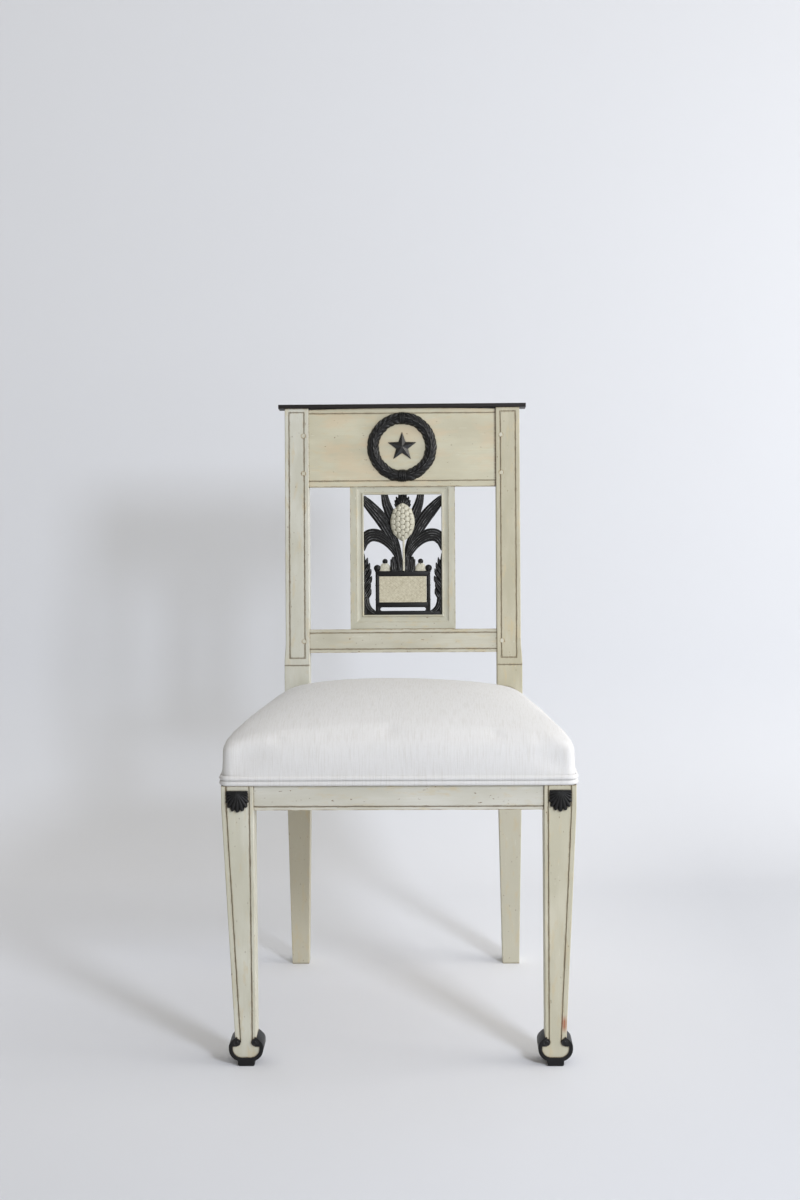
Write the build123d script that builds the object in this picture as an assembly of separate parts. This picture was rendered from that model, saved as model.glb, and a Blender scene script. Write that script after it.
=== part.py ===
from build123d import *
import math
import os

# A painted side chair of the late Gustavian kind, in millimetres.
# X runs to the sitter's left as seen from the front (right in a front view), Y from front to back, Z up.
# The model is built from the front face of the front legs (Y = 0) and moved at the end, so that its
# origin lies on the floor under the middle of its bounding box.
# The back leans on its own plane: there u is X, v runs up the back from the bend of the posts, and
# n stands out of the posts' front faces, towards the sitter.

# ---- Driving dimensions: the whole chair ----
HEIGHT = 860.0               # floor to the highest edge of the cap
FRONT_SPREAD = 457.0         # over both front legs, at the seat
BACK_SPREAD = 355.0          # over both rear posts, above the seat
SEAT_DEPTH = 386.0           # front face of the front legs to the front face of the posts, at the bend
BEND_HEIGHT = 430.0          # where the posts turn from leg to back
BACK_RAKE = 7.4              # lean of the back, degrees from upright
REAR_SPLAY = 12.0            # how far the rear feet stand behind the bend
BEND_RADIUS = 220.0          # easing of the bend in the posts

# ---- Joints and clearances ----
TENON_GAP = 0.15             # tenon to mortise, on every face
TENON_THICKNESS = 8.0
TENON_SHOULDER = 6.0         # rail edge to tenon edge
PEG_GAP = 0.1                # peg to its hole, on the radius
TONGUE_GAP = 0.2             # splat tongue to its groove
LET_IN_GAP = 0.2             # let-in panels to their openings
CLOTH_GAP = 0.5              # upholstery to the wood it wraps
EDGE_ROUND = 1.2             # worn arrises of legs, posts and rails
GROOVE_WIDTH = 1.5           # scratched line
GROOVE_DEPTH = 1.1

# ---- Rear posts ----
POST_WIDTH = 36.0
POST_TOP_DEPTH = 23.0
POST_SEAT_DEPTH = 34.0
POST_FOOT_DEPTH = 28.0
POST_FLARE = 2.0             # extra width outwards at the seat
FLARE_TOP = 46.0             # the flare starts this far above the bend
FLARE_END = 70.0             # and has run out here
FLARE_RADIUS = 150.0         # easing of every turn in the post's sides
REAR_FOOT_WIDTH = 25.8
REAR_FOOT_INSET = 2.0        # outer face of the foot inside the outer face of the back
FRAME_LINE_OUTER = 6.5       # scratched frame on the post: distance from the outer edge
FRAME_LINE_INNER = 6.8       # and from the inner edge
FRAME_LINE_TOP = 6.0         # below the end of the post
FRAME_LINE_BOTTOM = 50.0     # above the bend, along the back
BLOCK_LINE = 39.0            # single line across the post, above the bend
PEG_RADIUS = 3.3
PEG_INSET = 7.8              # peg centre from the inner edge of the post
PEG_PROUD = 0.3
PEG_LENGTH = 17.0

# ---- Back rails, cap and ornament ----
CAP_LENGTH = 374.0
CAP_THICKNESS = 6.0
CAP_FRONT = 3.0              # cap in front of the posts
CAP_BACK = 3.0               # cap behind the posts
CAP_ROUND = 1.6
RAIL_RECESS = 2.0            # back rails behind the faces of the posts
RAIL_THICKNESS = 19.0
CREST_HEIGHT = 116.4         # at its ends
CREST_END_GAP = 2.0          # crest below the cap at its ends; its top is arched up to the cap
CREST_LINE_TOP = 6.5
CREST_LINE_BOTTOM = 7.7
CREST_TENON_LENGTH = 25.0
CREST_PEG_HEIGHTS = (20.0, 77.0)      # above the bottom edge of the crest rail
LOWER_RAIL_GAP = 15.5        # lower back rail above the crown of the seat
LOWER_RAIL_HEIGHT = 35.0
LOWER_RAIL_LINES = 6.0
LOWER_TENON_LENGTH = 25.0
LOWER_PEG_HEIGHT = 17.3
WREATH_HEIGHT = 59.5         # centre of wreath and star above the bottom edge of the crest rail
WREATH_OUTER = 52.8
WREATH_INNER = 34.6
WREATH_RISE = 8.5
STAR_OUTER = 22.3
STAR_INNER = 9.1
STAR_RISE = 5.5
STAR_EDGE = 1.2
STAR_POINTS = 5

# ---- Splat ----
SPLAT_WIDTH = 158.6
MEMBER_WIDTH = 20.4          # sides of the splat frame
MEMBER_BOTTOM = 21.8         # its bottom member
MEMBER_TOP = 12.2            # its top member, as far as it shows
MEMBER_THICKNESS = 16.0
MEMBER_RECESS = 4.0          # splat frame behind the faces of the posts
MEMBER_BEAD = 3.0            # bead along the opening
MEMBER_HOLLOW = 7.6          # width of the hollow; the flat fillet outside it takes the rest
MEMBER_STEP = 0.5            # the fillet steps down to the hollow
HOLLOW_DEPTH = 1.7
REBATE_WIDTH = 5.0           # at the back of the frame, for the openwork panel
PANEL_RECESS = 5.0           # openwork behind the front of its frame
PANEL_THICKNESS = 8.0
TONGUE_THICKNESS = 7.0
TONGUE_HEIGHT = 7.0
TONGUE_MARGIN = 12.0         # tongue ends short of the splat's corners

# ---- Openwork: a pineapple on its plant, growing out of a planter ----
# The drawing fills the opening of its frame: sizes across are shares of half the opening's width, and
# heights are shares of the opening's height. Reliefs, balls and gaps are in millimetres.
LEAF_LAP = 0.3               # leaves run this far under the frame
FRUIT_HALF_WIDTH = 0.323
FRUIT_HALF_HEIGHT = 0.162
FRUIT_CENTRE = 0.768
FRUIT_RISE = 9.0
STEM_WIDTH = 0.058
STEM_RISE = 3.0
STEM_SHIFT = 0.024           # the stem stands a little to one side of the middle
STEM_SLIT_WIDTH = 0.075
STEM_SLIT_TOP = 0.604
STEM_SLIT_BOTTOM = 0.530
CROWN_TIP = 0.076            # half width of the crown where it meets the frame
CROWN_HALF_WIDTH = 0.183
CROWN_FOOT = 0.898
BASE_STRIP = 0.034
SLOT_HEIGHT = 0.030
SLOT_HALF_WIDTH = 0.581
PLANTER_HALF_WIDTH = 0.706
PLANTER_POST = 0.097
PLANTER_BOTTOM = 0.103       # lower edge of the planter's panel
PLANTER_PANEL_HEIGHT = 0.218
PLANTER_RAIL = 0.044
PLANTER_PANEL_THICKNESS = 6.0
ACANTHUS_FOOT = 0.756        # inner corner of the side leaf where it stands on the base strip
BUD_CENTRE = 0.447
BUD_BASE = 0.350
BUD_TOP = 0.215
BUD_HEIGHT = 0.062
BUD_THICKNESS = 6.0
BUD_BALL = 3.9
FINIAL_BALL = 5.2

# ---- Seat frame ----
SEAT_RAIL_THICKNESS = 22.0
SEAT_RAIL_RECESS = 3.0       # rails behind the outer faces of the legs
SEAT_RAIL_BOTTOM = 342.0
SEAT_RAIL_HEIGHT = 70.0
SEAT_RAIL_LINE = 4.0         # scratched line above the lower edge
FRONT_TENON_LENGTH = 19.0
SIDE_TENON_FRONT = 24.0
SIDE_TENON_REAR = 14.0
SIDE_TENON_SHIFT = 3.0       # side tenons stand inwards of the rail's middle
REAR_TENON_LENGTH = 20.0
REAR_TENON_SHIFT = 1.5
BLOCK_REACH = 88.0           # corner block along each rail
BLOCK_HEIGHT = 40.0
BLOCK_DROP = 10.0            # block below the top of the rails
SCREW_RADIUS = 2.0
SCREW_HEAD_RADIUS = 4.0
SCREW_HEAD_HEIGHT = 2.4
SCREW_LENGTH = 44.0
SCREW_PLACES = (0.3, 0.7)    # along the face of each block

# ---- Front legs and their scroll feet ----
LEG_WIDTH = 41.5
LEG_DEPTH = 39.5
FOOT_WIDTH = 27.2
FOOT_DEPTH = 30.0
FOOT_INSET = 12.3            # outer face of the foot inside the outer face of the leg at the seat
TAPER_END = 20.0
TAPER_RADIUS = 200.0         # easing between the square head of the leg and its taper
LEG_LINE_OUTER = 6.6
LEG_LINE_INNER = 5.2
SCROLL_HALF_WIDTH = 22.6
SCROLL_BOTTOM = 6.2
SCROLL_BAND = 4.9
SCROLL_LOW_RADIUS = 17.0
SCROLL_HIGH_RADIUS = 11.0
SCROLL_PROUD = 1.5           # scroll in front of the leg and behind it
VOLUTE_RADIUS = 4.6
VOLUTE_SPREAD = 11.7
VOLUTE_HEIGHT = 32.0
BULB_TOP = 26.6
PAD_HALF_WIDTH = 11.0
PAD_ROUND = 2.5
SHELL_WIDTH = 28.6
SHELL_DROP = 5.9             # straight upper edge of the shell below the cover
SHELL_FLAT = 14.0            # straight sides, above the scalloped end
SHELL_THICKNESS = 4.0
SHELL_LOBES = 9
SHELL_HUB = 6.0              # the valleys start this far below the middle of the upper edge
SHELL_VALLEY = 1.6           # side of the square bar that each valley is cut with

# ---- Upholstery ----
RAIL_SHOWS = 32.4            # height of the seat rails left bare below the cover
COVER_THICKNESS = 7.0        # padding and linen over the rails
WEB_WIDTH = 50.0
WEB_THICKNESS = 1.6
WEB_COUNT = 3
WEB_PITCH_ACROSS = 96.0
WEB_PITCH_ALONG = 100.0
WEB_END = 4.0                # webbing stops short of the cover
HESSIAN_THICKNESS = 1.0
CUSHION_HEIGHT = 55.8        # stuffing and cover over the webbing, in the middle of the seat
CROWN_RADIUS = 1150.0
CUSHION_CORNER = 11.0
CUSHION_ROLL = 10.0
WELT_RADIUS = 3.4
WELT_GAP = 0.1               # welt to the cover behind it and the ledge under it

# ---- Worked out from the above ----
RAKE = math.radians(BACK_RAKE)
BACK = Plane(
    origin=(0, SEAT_DEPTH, BEND_HEIGHT),
    x_dir=(1, 0, 0),
    z_dir=(0, -math.cos(RAKE), math.sin(RAKE)),
)
POST_OUTER = BACK_SPREAD / 2
POST_INNER = POST_OUTER - POST_WIDTH
POST_SEAT_OUTER = POST_OUTER + POST_FLARE
CAP_CURVE_RISE = HEIGHT - BEND_HEIGHT - CAP_ROUND - (CAP_FRONT - CAP_ROUND) * math.sin(RAKE)
POST_END = CAP_CURVE_RISE / math.cos(RAKE) + CAP_ROUND - CAP_THICKNESS
CREST_END_TOP = POST_END - CREST_END_GAP
CREST_BOTTOM = CREST_END_TOP - CREST_HEIGHT
SEAT_RAIL_TOP = SEAT_RAIL_BOTTOM + SEAT_RAIL_HEIGHT
COVER_LINE = SEAT_RAIL_BOTTOM + RAIL_SHOWS
SHELL_TOP = COVER_LINE - SHELL_DROP
WEB_BOTTOM = SEAT_RAIL_TOP
HESSIAN_BOTTOM = WEB_BOTTOM + 2 * WEB_THICKNESS
CUSHION_BOTTOM = HESSIAN_BOTTOM + HESSIAN_THICKNESS
CROWN_TOP = CUSHION_BOTTOM + CUSHION_HEIGHT
LOWER_RAIL_BOTTOM = (CROWN_TOP + LOWER_RAIL_GAP - BEND_HEIGHT) / math.cos(RAKE)
LOWER_RAIL_TOP = LOWER_RAIL_BOTTOM + LOWER_RAIL_HEIGHT
OPENING_BOTTOM = LOWER_RAIL_TOP + MEMBER_BOTTOM
OPENING_TOP = CREST_BOTTOM - MEMBER_TOP
OPENING_HEIGHT = OPENING_TOP - OPENING_BOTTOM
OPENING_HALF = SPLAT_WIDTH / 2 - MEMBER_WIDTH
PANEL_FRONT = -MEMBER_RECESS - PANEL_RECESS
LEG_OUTER = FRONT_SPREAD / 2
LEG_INNER = LEG_OUTER - LEG_WIDTH
FOOT_OUTER = LEG_OUTER - FOOT_INSET
FOOT_CENTRE = FOOT_OUTER - FOOT_WIDTH / 2
REAR_FACE = SEAT_DEPTH + POST_SEAT_DEPTH
SIDE_SLOPE = (LEG_OUTER - POST_SEAT_OUTER) / (SEAT_DEPTH - LEG_DEPTH)
SIDE_TURN = math.atan(SIDE_SLOPE)
BIG = 2 * HEIGHT             # reach of cutting bodies


def polygon(points):
    """A flat face with straight edges."""
    return make_face(Polyline(*points, close=True))


def box_between(low, high):
    """A box given by its lowest and highest corners."""
    size = [b - a for a, b in zip(low, high)]
    middle = [(a + b) / 2 for a, b in zip(low, high)]
    return Pos(*middle) * Box(*size)


def mirrored(shape):
    """The same piece on the other side of the chair."""
    return mirror(shape, about=Plane.YZ)


def extruded_across(face, start, end):
    """A profile drawn as (Y, Z), run along X from start to end."""
    return Plane.YZ.offset(start) * extrude(face, end - start)


def extruded_back(face, start, end):
    """A profile drawn as (X, Z), run along Y from start to end."""
    front = Plane(origin=(0, start, 0), x_dir=(1, 0, 0), z_dir=(0, -1, 0))
    return front * extrude(face, start - end)


def on_back(shape):
    """A piece drawn on the plane of the back, put in its place."""
    return BACK * shape


def long_edges(solid, length):
    """The edges of a stick that run along it."""
    return solid.edges().filter_by(lambda edge: edge.length > length)


# ---- Rear posts ----
def post_side():
    """The post sawn to its bend, as (Y, Z)."""
    top = (SEAT_DEPTH + POST_END * math.sin(RAKE), BEND_HEIGHT + POST_END * math.cos(RAKE))
    top_back = (top[0] + POST_TOP_DEPTH * math.cos(RAKE), top[1] - POST_TOP_DEPTH * math.sin(RAKE))
    foot = SEAT_DEPTH + REAR_SPLAY
    face = polygon([
        (foot, 0),
        (SEAT_DEPTH, BEND_HEIGHT),
        top,
        top_back,
        (REAR_FACE, BEND_HEIGHT),
        (foot + POST_FOOT_DEPTH, 0),
    ])
    bends = face.vertices().filter_by(lambda corner: corner.Y == BEND_HEIGHT)
    return fillet(bends, BEND_RADIUS)


def post_front():
    """The post seen from the front, as (X, Z)."""
    foot_outer = POST_OUTER - REAR_FOOT_INSET
    face = polygon([
        (foot_outer - REAR_FOOT_WIDTH, 0),
        (foot_outer, 0),
        (POST_SEAT_OUTER, SEAT_RAIL_BOTTOM),
        (POST_SEAT_OUTER, BEND_HEIGHT + FLARE_TOP),
        (POST_OUTER, BEND_HEIGHT + FLARE_END),
        (POST_OUTER, HEIGHT),
        (POST_INNER, HEIGHT),
        (POST_INNER, SEAT_RAIL_BOTTOM),
    ])
    turns = face.vertices().filter_by(lambda corner: 0 < corner.Y < HEIGHT)
    return fillet(turns, FLARE_RADIUS)


def post_blank():
    """The right post before its mortises."""
    side = extruded_across(post_side(), 0, FRONT_SPREAD)
    blank = side & extruded_back(post_front(), 0, BIG)
    shortest = HEIGHT - BEND_HEIGHT - POST_FOOT_DEPTH
    return fillet(long_edges(blank, shortest / 2), EDGE_ROUND)


def post_lines():
    """The scratched frame and the line across the right post, as cutters."""
    left = POST_INNER + FRAME_LINE_INNER
    right = POST_OUTER - FRAME_LINE_OUTER
    bottom = FRAME_LINE_BOTTOM
    top = POST_END - FRAME_LINE_TOP
    lines = []
    for u in (left, right):
        lines.append(box_between((u - GROOVE_WIDTH / 2, bottom, -GROOVE_DEPTH),
                                 (u + GROOVE_WIDTH / 2, top, GROOVE_DEPTH)))
    for v in (bottom, top):
        lines.append(box_between((left - GROOVE_WIDTH / 2, v - GROOVE_WIDTH / 2, -GROOVE_DEPTH),
                                 (right + GROOVE_WIDTH / 2, v + GROOVE_WIDTH / 2, GROOVE_DEPTH)))
    lines.append(box_between((POST_INNER - POST_FLARE, BLOCK_LINE - GROOVE_WIDTH / 2, -GROOVE_DEPTH),
                             (POST_SEAT_OUTER + POST_FLARE, BLOCK_LINE + GROOVE_WIDTH / 2, GROOVE_DEPTH)))
    return [on_back(line) for line in lines]


# ---- Tenons of the back, on the right side ----
def back_tenon(bottom, height, length, gap):
    """A tenon that runs from a back rail into the right post."""
    middle = -RAIL_RECESS - RAIL_THICKNESS / 2
    half = TENON_THICKNESS / 2 + gap
    return on_back(box_between(
        (POST_INNER - TENON_SHOULDER, bottom + TENON_SHOULDER - gap, middle - half),
        (POST_INNER + length + gap, bottom + height - TENON_SHOULDER + gap, middle + half),
    ))


def crest_tenon(gap=0.0):
    return back_tenon(CREST_BOTTOM, CREST_HEIGHT, CREST_TENON_LENGTH, gap)


def lower_tenon(gap=0.0):
    return back_tenon(LOWER_RAIL_BOTTOM, LOWER_RAIL_HEIGHT, LOWER_TENON_LENGTH, gap)


def peg_places():
    """Heights of the pegs in one post, along the back."""
    crest = [CREST_BOTTOM + height for height in CREST_PEG_HEIGHTS]
    return crest + [LOWER_RAIL_BOTTOM + LOWER_PEG_HEIGHT]


def pegs(gap=0.0):
    """The pegs of the right post, driven in from the front."""
    made = []
    for v in peg_places():
        peg = Cylinder(PEG_RADIUS + gap, PEG_LENGTH + PEG_PROUD + gap,
                       align=(Align.CENTER, Align.CENTER, Align.MAX))
        made.append(on_back(Pos(POST_INNER + PEG_INSET, v, PEG_PROUD) * peg))
    return made


# ---- Seat rails ----
def side_x(y):
    """The outer line of the seat, from the back corner of the front leg to the post."""
    return LEG_OUTER - SIDE_SLOPE * (y - LEG_DEPTH)


def seat_outline(inset, back):
    """The seat in plan, as far as Y = back, set in from the outer faces of the legs."""
    side = inset / math.cos(SIDE_TURN)
    half = LEG_OUTER - inset
    rear = side_x(back) - side
    return polygon([
        (-half, inset), (half, inset), (half, LEG_DEPTH), (rear, back),
        (-rear, back), (-half, LEG_DEPTH),
    ])


def along_side(shape):
    """Turn and move a piece drawn along Y onto the middle line of the right side rail."""
    middle = SEAT_RAIL_RECESS + SEAT_RAIL_THICKNESS / 2
    start = LEG_OUTER - middle / math.cos(SIDE_TURN)
    return Pos(start, LEG_DEPTH, 0) * Rot(0, 0, math.degrees(SIDE_TURN)) * shape


def side_length():
    return (SEAT_DEPTH - LEG_DEPTH) / math.cos(SIDE_TURN)


def side_tenons(gap=0.0):
    """Front and rear tenons of the right side rail."""
    half = TENON_THICKNESS / 2 + gap
    low = SEAT_RAIL_BOTTOM + TENON_SHOULDER - gap
    high = COVER_LINE - TENON_SHOULDER + gap
    shift = -SIDE_TENON_SHIFT
    front = box_between((shift - half, -SIDE_TENON_FRONT - gap, low), (shift + half, TENON_SHOULDER, high))
    end = side_length()
    rear = box_between((shift - half, end - TENON_SHOULDER, low),
                       (shift + half, end + SIDE_TENON_REAR + gap, high))
    return [along_side(front), along_side(rear)]


def front_tenon(gap=0.0):
    """The tenon of the front rail in the right leg."""
    middle = SEAT_RAIL_RECESS + SEAT_RAIL_THICKNESS / 2
    half = TENON_THICKNESS / 2 + gap
    return box_between(
        (LEG_INNER - TENON_SHOULDER, middle - half, SEAT_RAIL_BOTTOM + TENON_SHOULDER - gap),
        (LEG_INNER + FRONT_TENON_LENGTH + gap, middle + half, COVER_LINE - TENON_SHOULDER + gap),
    )


def rear_tenon(gap=0.0):
    """The tenon of the rear rail in the right post."""
    middle = REAR_FACE - SEAT_RAIL_RECESS - SEAT_RAIL_THICKNESS / 2 + REAR_TENON_SHIFT
    half = TENON_THICKNESS / 2 + gap
    return box_between(
        (POST_INNER - TENON_SHOULDER, middle - half, SEAT_RAIL_BOTTOM + TENON_SHOULDER - gap),
        (POST_INNER + REAR_TENON_LENGTH + gap, middle + half, COVER_LINE - TENON_SHOULDER + gap),
    )


def cover_rebate():
    """What is cut from legs and rails above the cover's edge, so that the cloth lies flush."""
    height = BIG - COVER_LINE
    core = extrude(seat_outline(COVER_THICKNESS, REAR_FACE - COVER_THICKNESS), height)
    block = box_between((-LEG_OUTER - BIG, -BIG, 0), (LEG_OUTER + BIG, BIG, height))
    return Pos(0, 0, COVER_LINE) * (block - core)


def rail_line(start, end):
    """The scratched line along the lower edge of a rail, as (Y, Z) cut from Y = 0 inwards."""
    z = SEAT_RAIL_BOTTOM + SEAT_RAIL_LINE
    return box_between((start, -GROOVE_DEPTH, z), (end, GROOVE_DEPTH, z + GROOVE_WIDTH))


def front_rail(rebate):
    """The front rail between the legs, with both tenons."""
    near = SEAT_RAIL_RECESS
    body = box_between((-LEG_INNER, near, SEAT_RAIL_BOTTOM),
                       (LEG_INNER, near + SEAT_RAIL_THICKNESS, SEAT_RAIL_TOP))
    body -= Pos(0, near, 0) * rail_line(-LEG_INNER, LEG_INNER)
    body -= rebate
    return body + front_tenon() + mirrored(front_tenon())


def rear_rail(rebate):
    """The rear rail between the posts."""
    far = REAR_FACE - SEAT_RAIL_RECESS
    body = box_between((-POST_INNER, far - SEAT_RAIL_THICKNESS, SEAT_RAIL_BOTTOM),
                       (POST_INNER, far, SEAT_RAIL_TOP))
    body -= rebate
    return body + rear_tenon() + mirrored(rear_tenon())


def side_rail(rebate, leg, post):
    """The right side rail, shouldered against the leg and the sloping face of the post."""
    half = SEAT_RAIL_THICKNESS / 2
    body = box_between((-half, -half, SEAT_RAIL_BOTTOM), (half, side_length() + half, SEAT_RAIL_TOP))
    body -= Pos(half, 0, 0) * Rot(0, 0, 90) * rail_line(-half, side_length() + half)
    body = along_side(body) - rebate - leg - post
    body = body.solids().sort_by(lambda solid: solid.volume)[-1]
    for tenon in side_tenons():
        body += tenon
    return body


def corner_block(front, cutters):
    """A glued triangular block in the right front or right rear corner of the seat frame."""
    high = SEAT_RAIL_TOP - BLOCK_DROP
    side = SEAT_RAIL_RECESS + SEAT_RAIL_THICKNESS
    if front:
        corner = (LEG_OUTER - side, side)
        turn = 1
    else:
        corner = (POST_SEAT_OUTER - side, REAR_FACE - side)
        turn = -1
    across = (corner[0] - BLOCK_REACH, corner[1])
    along = (corner[0], corner[1] + turn * BLOCK_REACH)
    block = Pos(0, 0, high - BLOCK_HEIGHT) * extrude(polygon([corner, across, along]), BLOCK_HEIGHT)
    for cutter in cutters:
        block -= cutter
    block = block.solids().sort_by(lambda solid: solid.volume)[-1]
    screws = []
    for place in SCREW_PLACES:
        x = across[0] + place * (along[0] - across[0])
        y = across[1] + place * (along[1] - across[1])
        screws.append(block_screw((x, y, high - BLOCK_HEIGHT / 2), turn))
    return block, screws


def block_screw(place, turn):
    """A countersunk screw through the face of a corner block, into the wood behind it."""
    shank = Cylinder(SCREW_RADIUS, SCREW_LENGTH, align=(Align.CENTER, Align.CENTER, Align.MIN))
    head = Cone(SCREW_HEAD_RADIUS, SCREW_RADIUS, SCREW_HEAD_HEIGHT,
                align=(Align.CENTER, Align.CENTER, Align.MIN))
    inwards = Plane(origin=place, z_dir=(1, -turn, 0))
    return inwards * (shank + head)


# ---- Front legs ----
def leg_blank():
    """The right front leg, square at the seat and tapered below it on three sides."""
    front = polygon([
        (FOOT_OUTER - FOOT_WIDTH, TAPER_END),
        (FOOT_OUTER, TAPER_END),
        (LEG_OUTER, SEAT_RAIL_BOTTOM),
        (LEG_OUTER, SEAT_RAIL_TOP),
        (LEG_INNER, SEAT_RAIL_TOP),
        (LEG_INNER, SEAT_RAIL_BOTTOM),
    ])
    side = polygon([
        (0, TAPER_END),
        (0, SEAT_RAIL_TOP),
        (LEG_DEPTH, SEAT_RAIL_TOP),
        (LEG_DEPTH, SEAT_RAIL_BOTTOM),
        (FOOT_DEPTH, TAPER_END),
    ])
    side = fillet(side.vertices().filter_by(lambda corner: corner.Y == SEAT_RAIL_BOTTOM), TAPER_RADIUS)
    front = fillet(front.vertices().filter_by(lambda corner: corner.Y == SEAT_RAIL_BOTTOM), TAPER_RADIUS)
    blank = extruded_across(side, 0, FRONT_SPREAD) & extruded_back(front, -1, LEG_DEPTH + 1)
    return fillet(long_edges(blank, (SEAT_RAIL_BOTTOM - TAPER_END) / 2), EDGE_ROUND)


def leg_lines():
    """The two scratched lines down the face of the right leg, as cutters."""
    lines = []
    for inset_top, inset_foot in (
        (LEG_LINE_INNER, LEG_LINE_INNER),
        (LEG_WIDTH - LEG_LINE_OUTER, FOOT_WIDTH - LEG_LINE_OUTER),
    ):
        top = LEG_INNER + inset_top
        foot = FOOT_OUTER - FOOT_WIDTH + inset_foot
        half = GROOVE_WIDTH / 2
        face = polygon([
            (foot - half, VOLUTE_HEIGHT),
            (foot + half, VOLUTE_HEIGHT),
            (top + half, SEAT_RAIL_BOTTOM),
            (top + half, COVER_LINE),
            (top - half, COVER_LINE),
            (top - half, SEAT_RAIL_BOTTOM),
        ])
        lines.append(extruded_back(face, -GROOVE_DEPTH, GROOVE_DEPTH))
    return lines


def scroll_side(shrink):
    """The full curve at the right of the foot, set in from its outline by shrink, as (X, Z)."""
    centre = Pos(SCROLL_HALF_WIDTH - SCROLL_LOW_RADIUS, SCROLL_BOTTOM + SCROLL_LOW_RADIUS)
    return centre * Circle(SCROLL_LOW_RADIUS - shrink)


def bulb_face():
    """The painted end of the leg that the scroll cups."""
    inner = SCROLL_LOW_RADIUS - SCROLL_BAND
    middle = SCROLL_HALF_WIDTH - SCROLL_LOW_RADIUS
    low = SCROLL_BOTTOM + SCROLL_BAND
    centre = SCROLL_BOTTOM + SCROLL_LOW_RADIUS
    right = scroll_side(SCROLL_BAND)
    left = mirror(right, about=Plane.YZ)
    filling = Pos(0, (low + BULB_TOP) / 2) * Rectangle(2 * middle, BULB_TOP - low)
    upper = Pos(0, (centre + BULB_TOP) / 2) * Rectangle(2 * (middle + inner), BULB_TOP - centre)
    trim = Pos(0, BULB_TOP + SCROLL_LOW_RADIUS) * Rectangle(BIG, 2 * SCROLL_LOW_RADIUS)
    return (right + left + filling + upper) - trim


def scroll_face():
    """The black band under the leg: it rises on both sides and rolls into two volutes."""
    middle = SCROLL_HALF_WIDTH - SCROLL_LOW_RADIUS
    curl = SCROLL_HALF_WIDTH - SCROLL_HIGH_RADIUS
    curl_height = VOLUTE_HEIGHT + VOLUTE_RADIUS - SCROLL_HIGH_RADIUS
    centre = SCROLL_BOTTOM + SCROLL_LOW_RADIUS
    side = scroll_side(0) + Pos(curl, curl_height) * Circle(SCROLL_HIGH_RADIUS)
    side += Pos(SCROLL_HALF_WIDTH / 2, (centre + curl_height) / 2) * Rectangle(
        SCROLL_HALF_WIDTH, curl_height - centre)
    outer = side + mirror(side, about=Plane.YZ)
    outer += Pos(0, (SCROLL_BOTTOM + centre) / 2) * Rectangle(2 * middle, centre - SCROLL_BOTTOM)
    neck = Pos(0, centre + SCROLL_HIGH_RADIUS) * Rectangle(2 * VOLUTE_SPREAD, 2 * SCROLL_HIGH_RADIUS)
    band = outer - bulb_face() - neck
    for sign in (-1, 1):
        band += Pos(sign * VOLUTE_SPREAD, VOLUTE_HEIGHT) * Circle(VOLUTE_RADIUS)
    pad_height = SCROLL_BOTTOM + SCROLL_BAND / 2
    pad = Pos(0, pad_height / 2) * Rectangle(2 * PAD_HALF_WIDTH, pad_height)
    pad = fillet(pad.vertices().group_by(Axis.Y)[0], PAD_ROUND)
    return band + pad


def foot_scroll():
    """The scroll under the right front leg."""
    depth = FOOT_DEPTH + 2 * SCROLL_PROUD
    return extruded_back(Pos(FOOT_CENTRE, 0) * scroll_face(), -SCROLL_PROUD, depth - SCROLL_PROUD)


def shell_lobes():
    """Centres of the shell's lobes round its lower end, as (X, Z), and their radius."""
    half = SHELL_WIDTH / 2
    lobe = half * math.sin(math.pi / (2 * SHELL_LOBES))
    reach = half - lobe
    angles = [-math.pi * (index + 1 / 2) / SHELL_LOBES for index in range(SHELL_LOBES)]
    centres = [(reach * math.cos(angle), reach * math.sin(angle) - SHELL_FLAT) for angle in angles]
    return centres, lobe


def shell():
    """The shell on the face of the right front leg: valleys between its ribs fan out from the top."""
    centres, lobe = shell_lobes()
    face = Pos(0, -SHELL_FLAT / 2) * Rectangle(SHELL_WIDTH, SHELL_FLAT)
    face += Pos(0, -SHELL_FLAT) * Circle(SHELL_WIDTH / 2 - lobe)
    for centre in centres:
        face += Pos(*centre) * Circle(lobe)
    body = extrude(face, SHELL_THICKNESS)
    for first, second in zip(centres, centres[1:]):
        way = Vector((first[0] + second[0]) / 2, (first[1] + second[1]) / 2, 0)
        start = way.normalized() * SHELL_HUB
        valley = Rot(0, 0, 45) * Box(SHELL_VALLEY, SHELL_VALLEY, way.length,
                                     align=(Align.CENTER, Align.CENTER, Align.MIN))
        body -= Plane(origin=start + Vector(0, 0, SHELL_THICKNESS), x_dir=(0, 0, 1), z_dir=way) * valley
    front = Plane(origin=((LEG_INNER + LEG_OUTER) / 2, 0, SHELL_TOP), x_dir=(1, 0, 0), z_dir=(0, -1, 0))
    return front * body


# ---- Back ----
def line_across(bottom):
    """A scratched line along a back rail, as a cutter with its lower edge at this height."""
    front = -RAIL_RECESS
    return box_between((-POST_INNER, bottom, front - GROOVE_DEPTH),
                       (POST_INNER, bottom + GROOVE_WIDTH, front + GROOVE_DEPTH))


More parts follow.
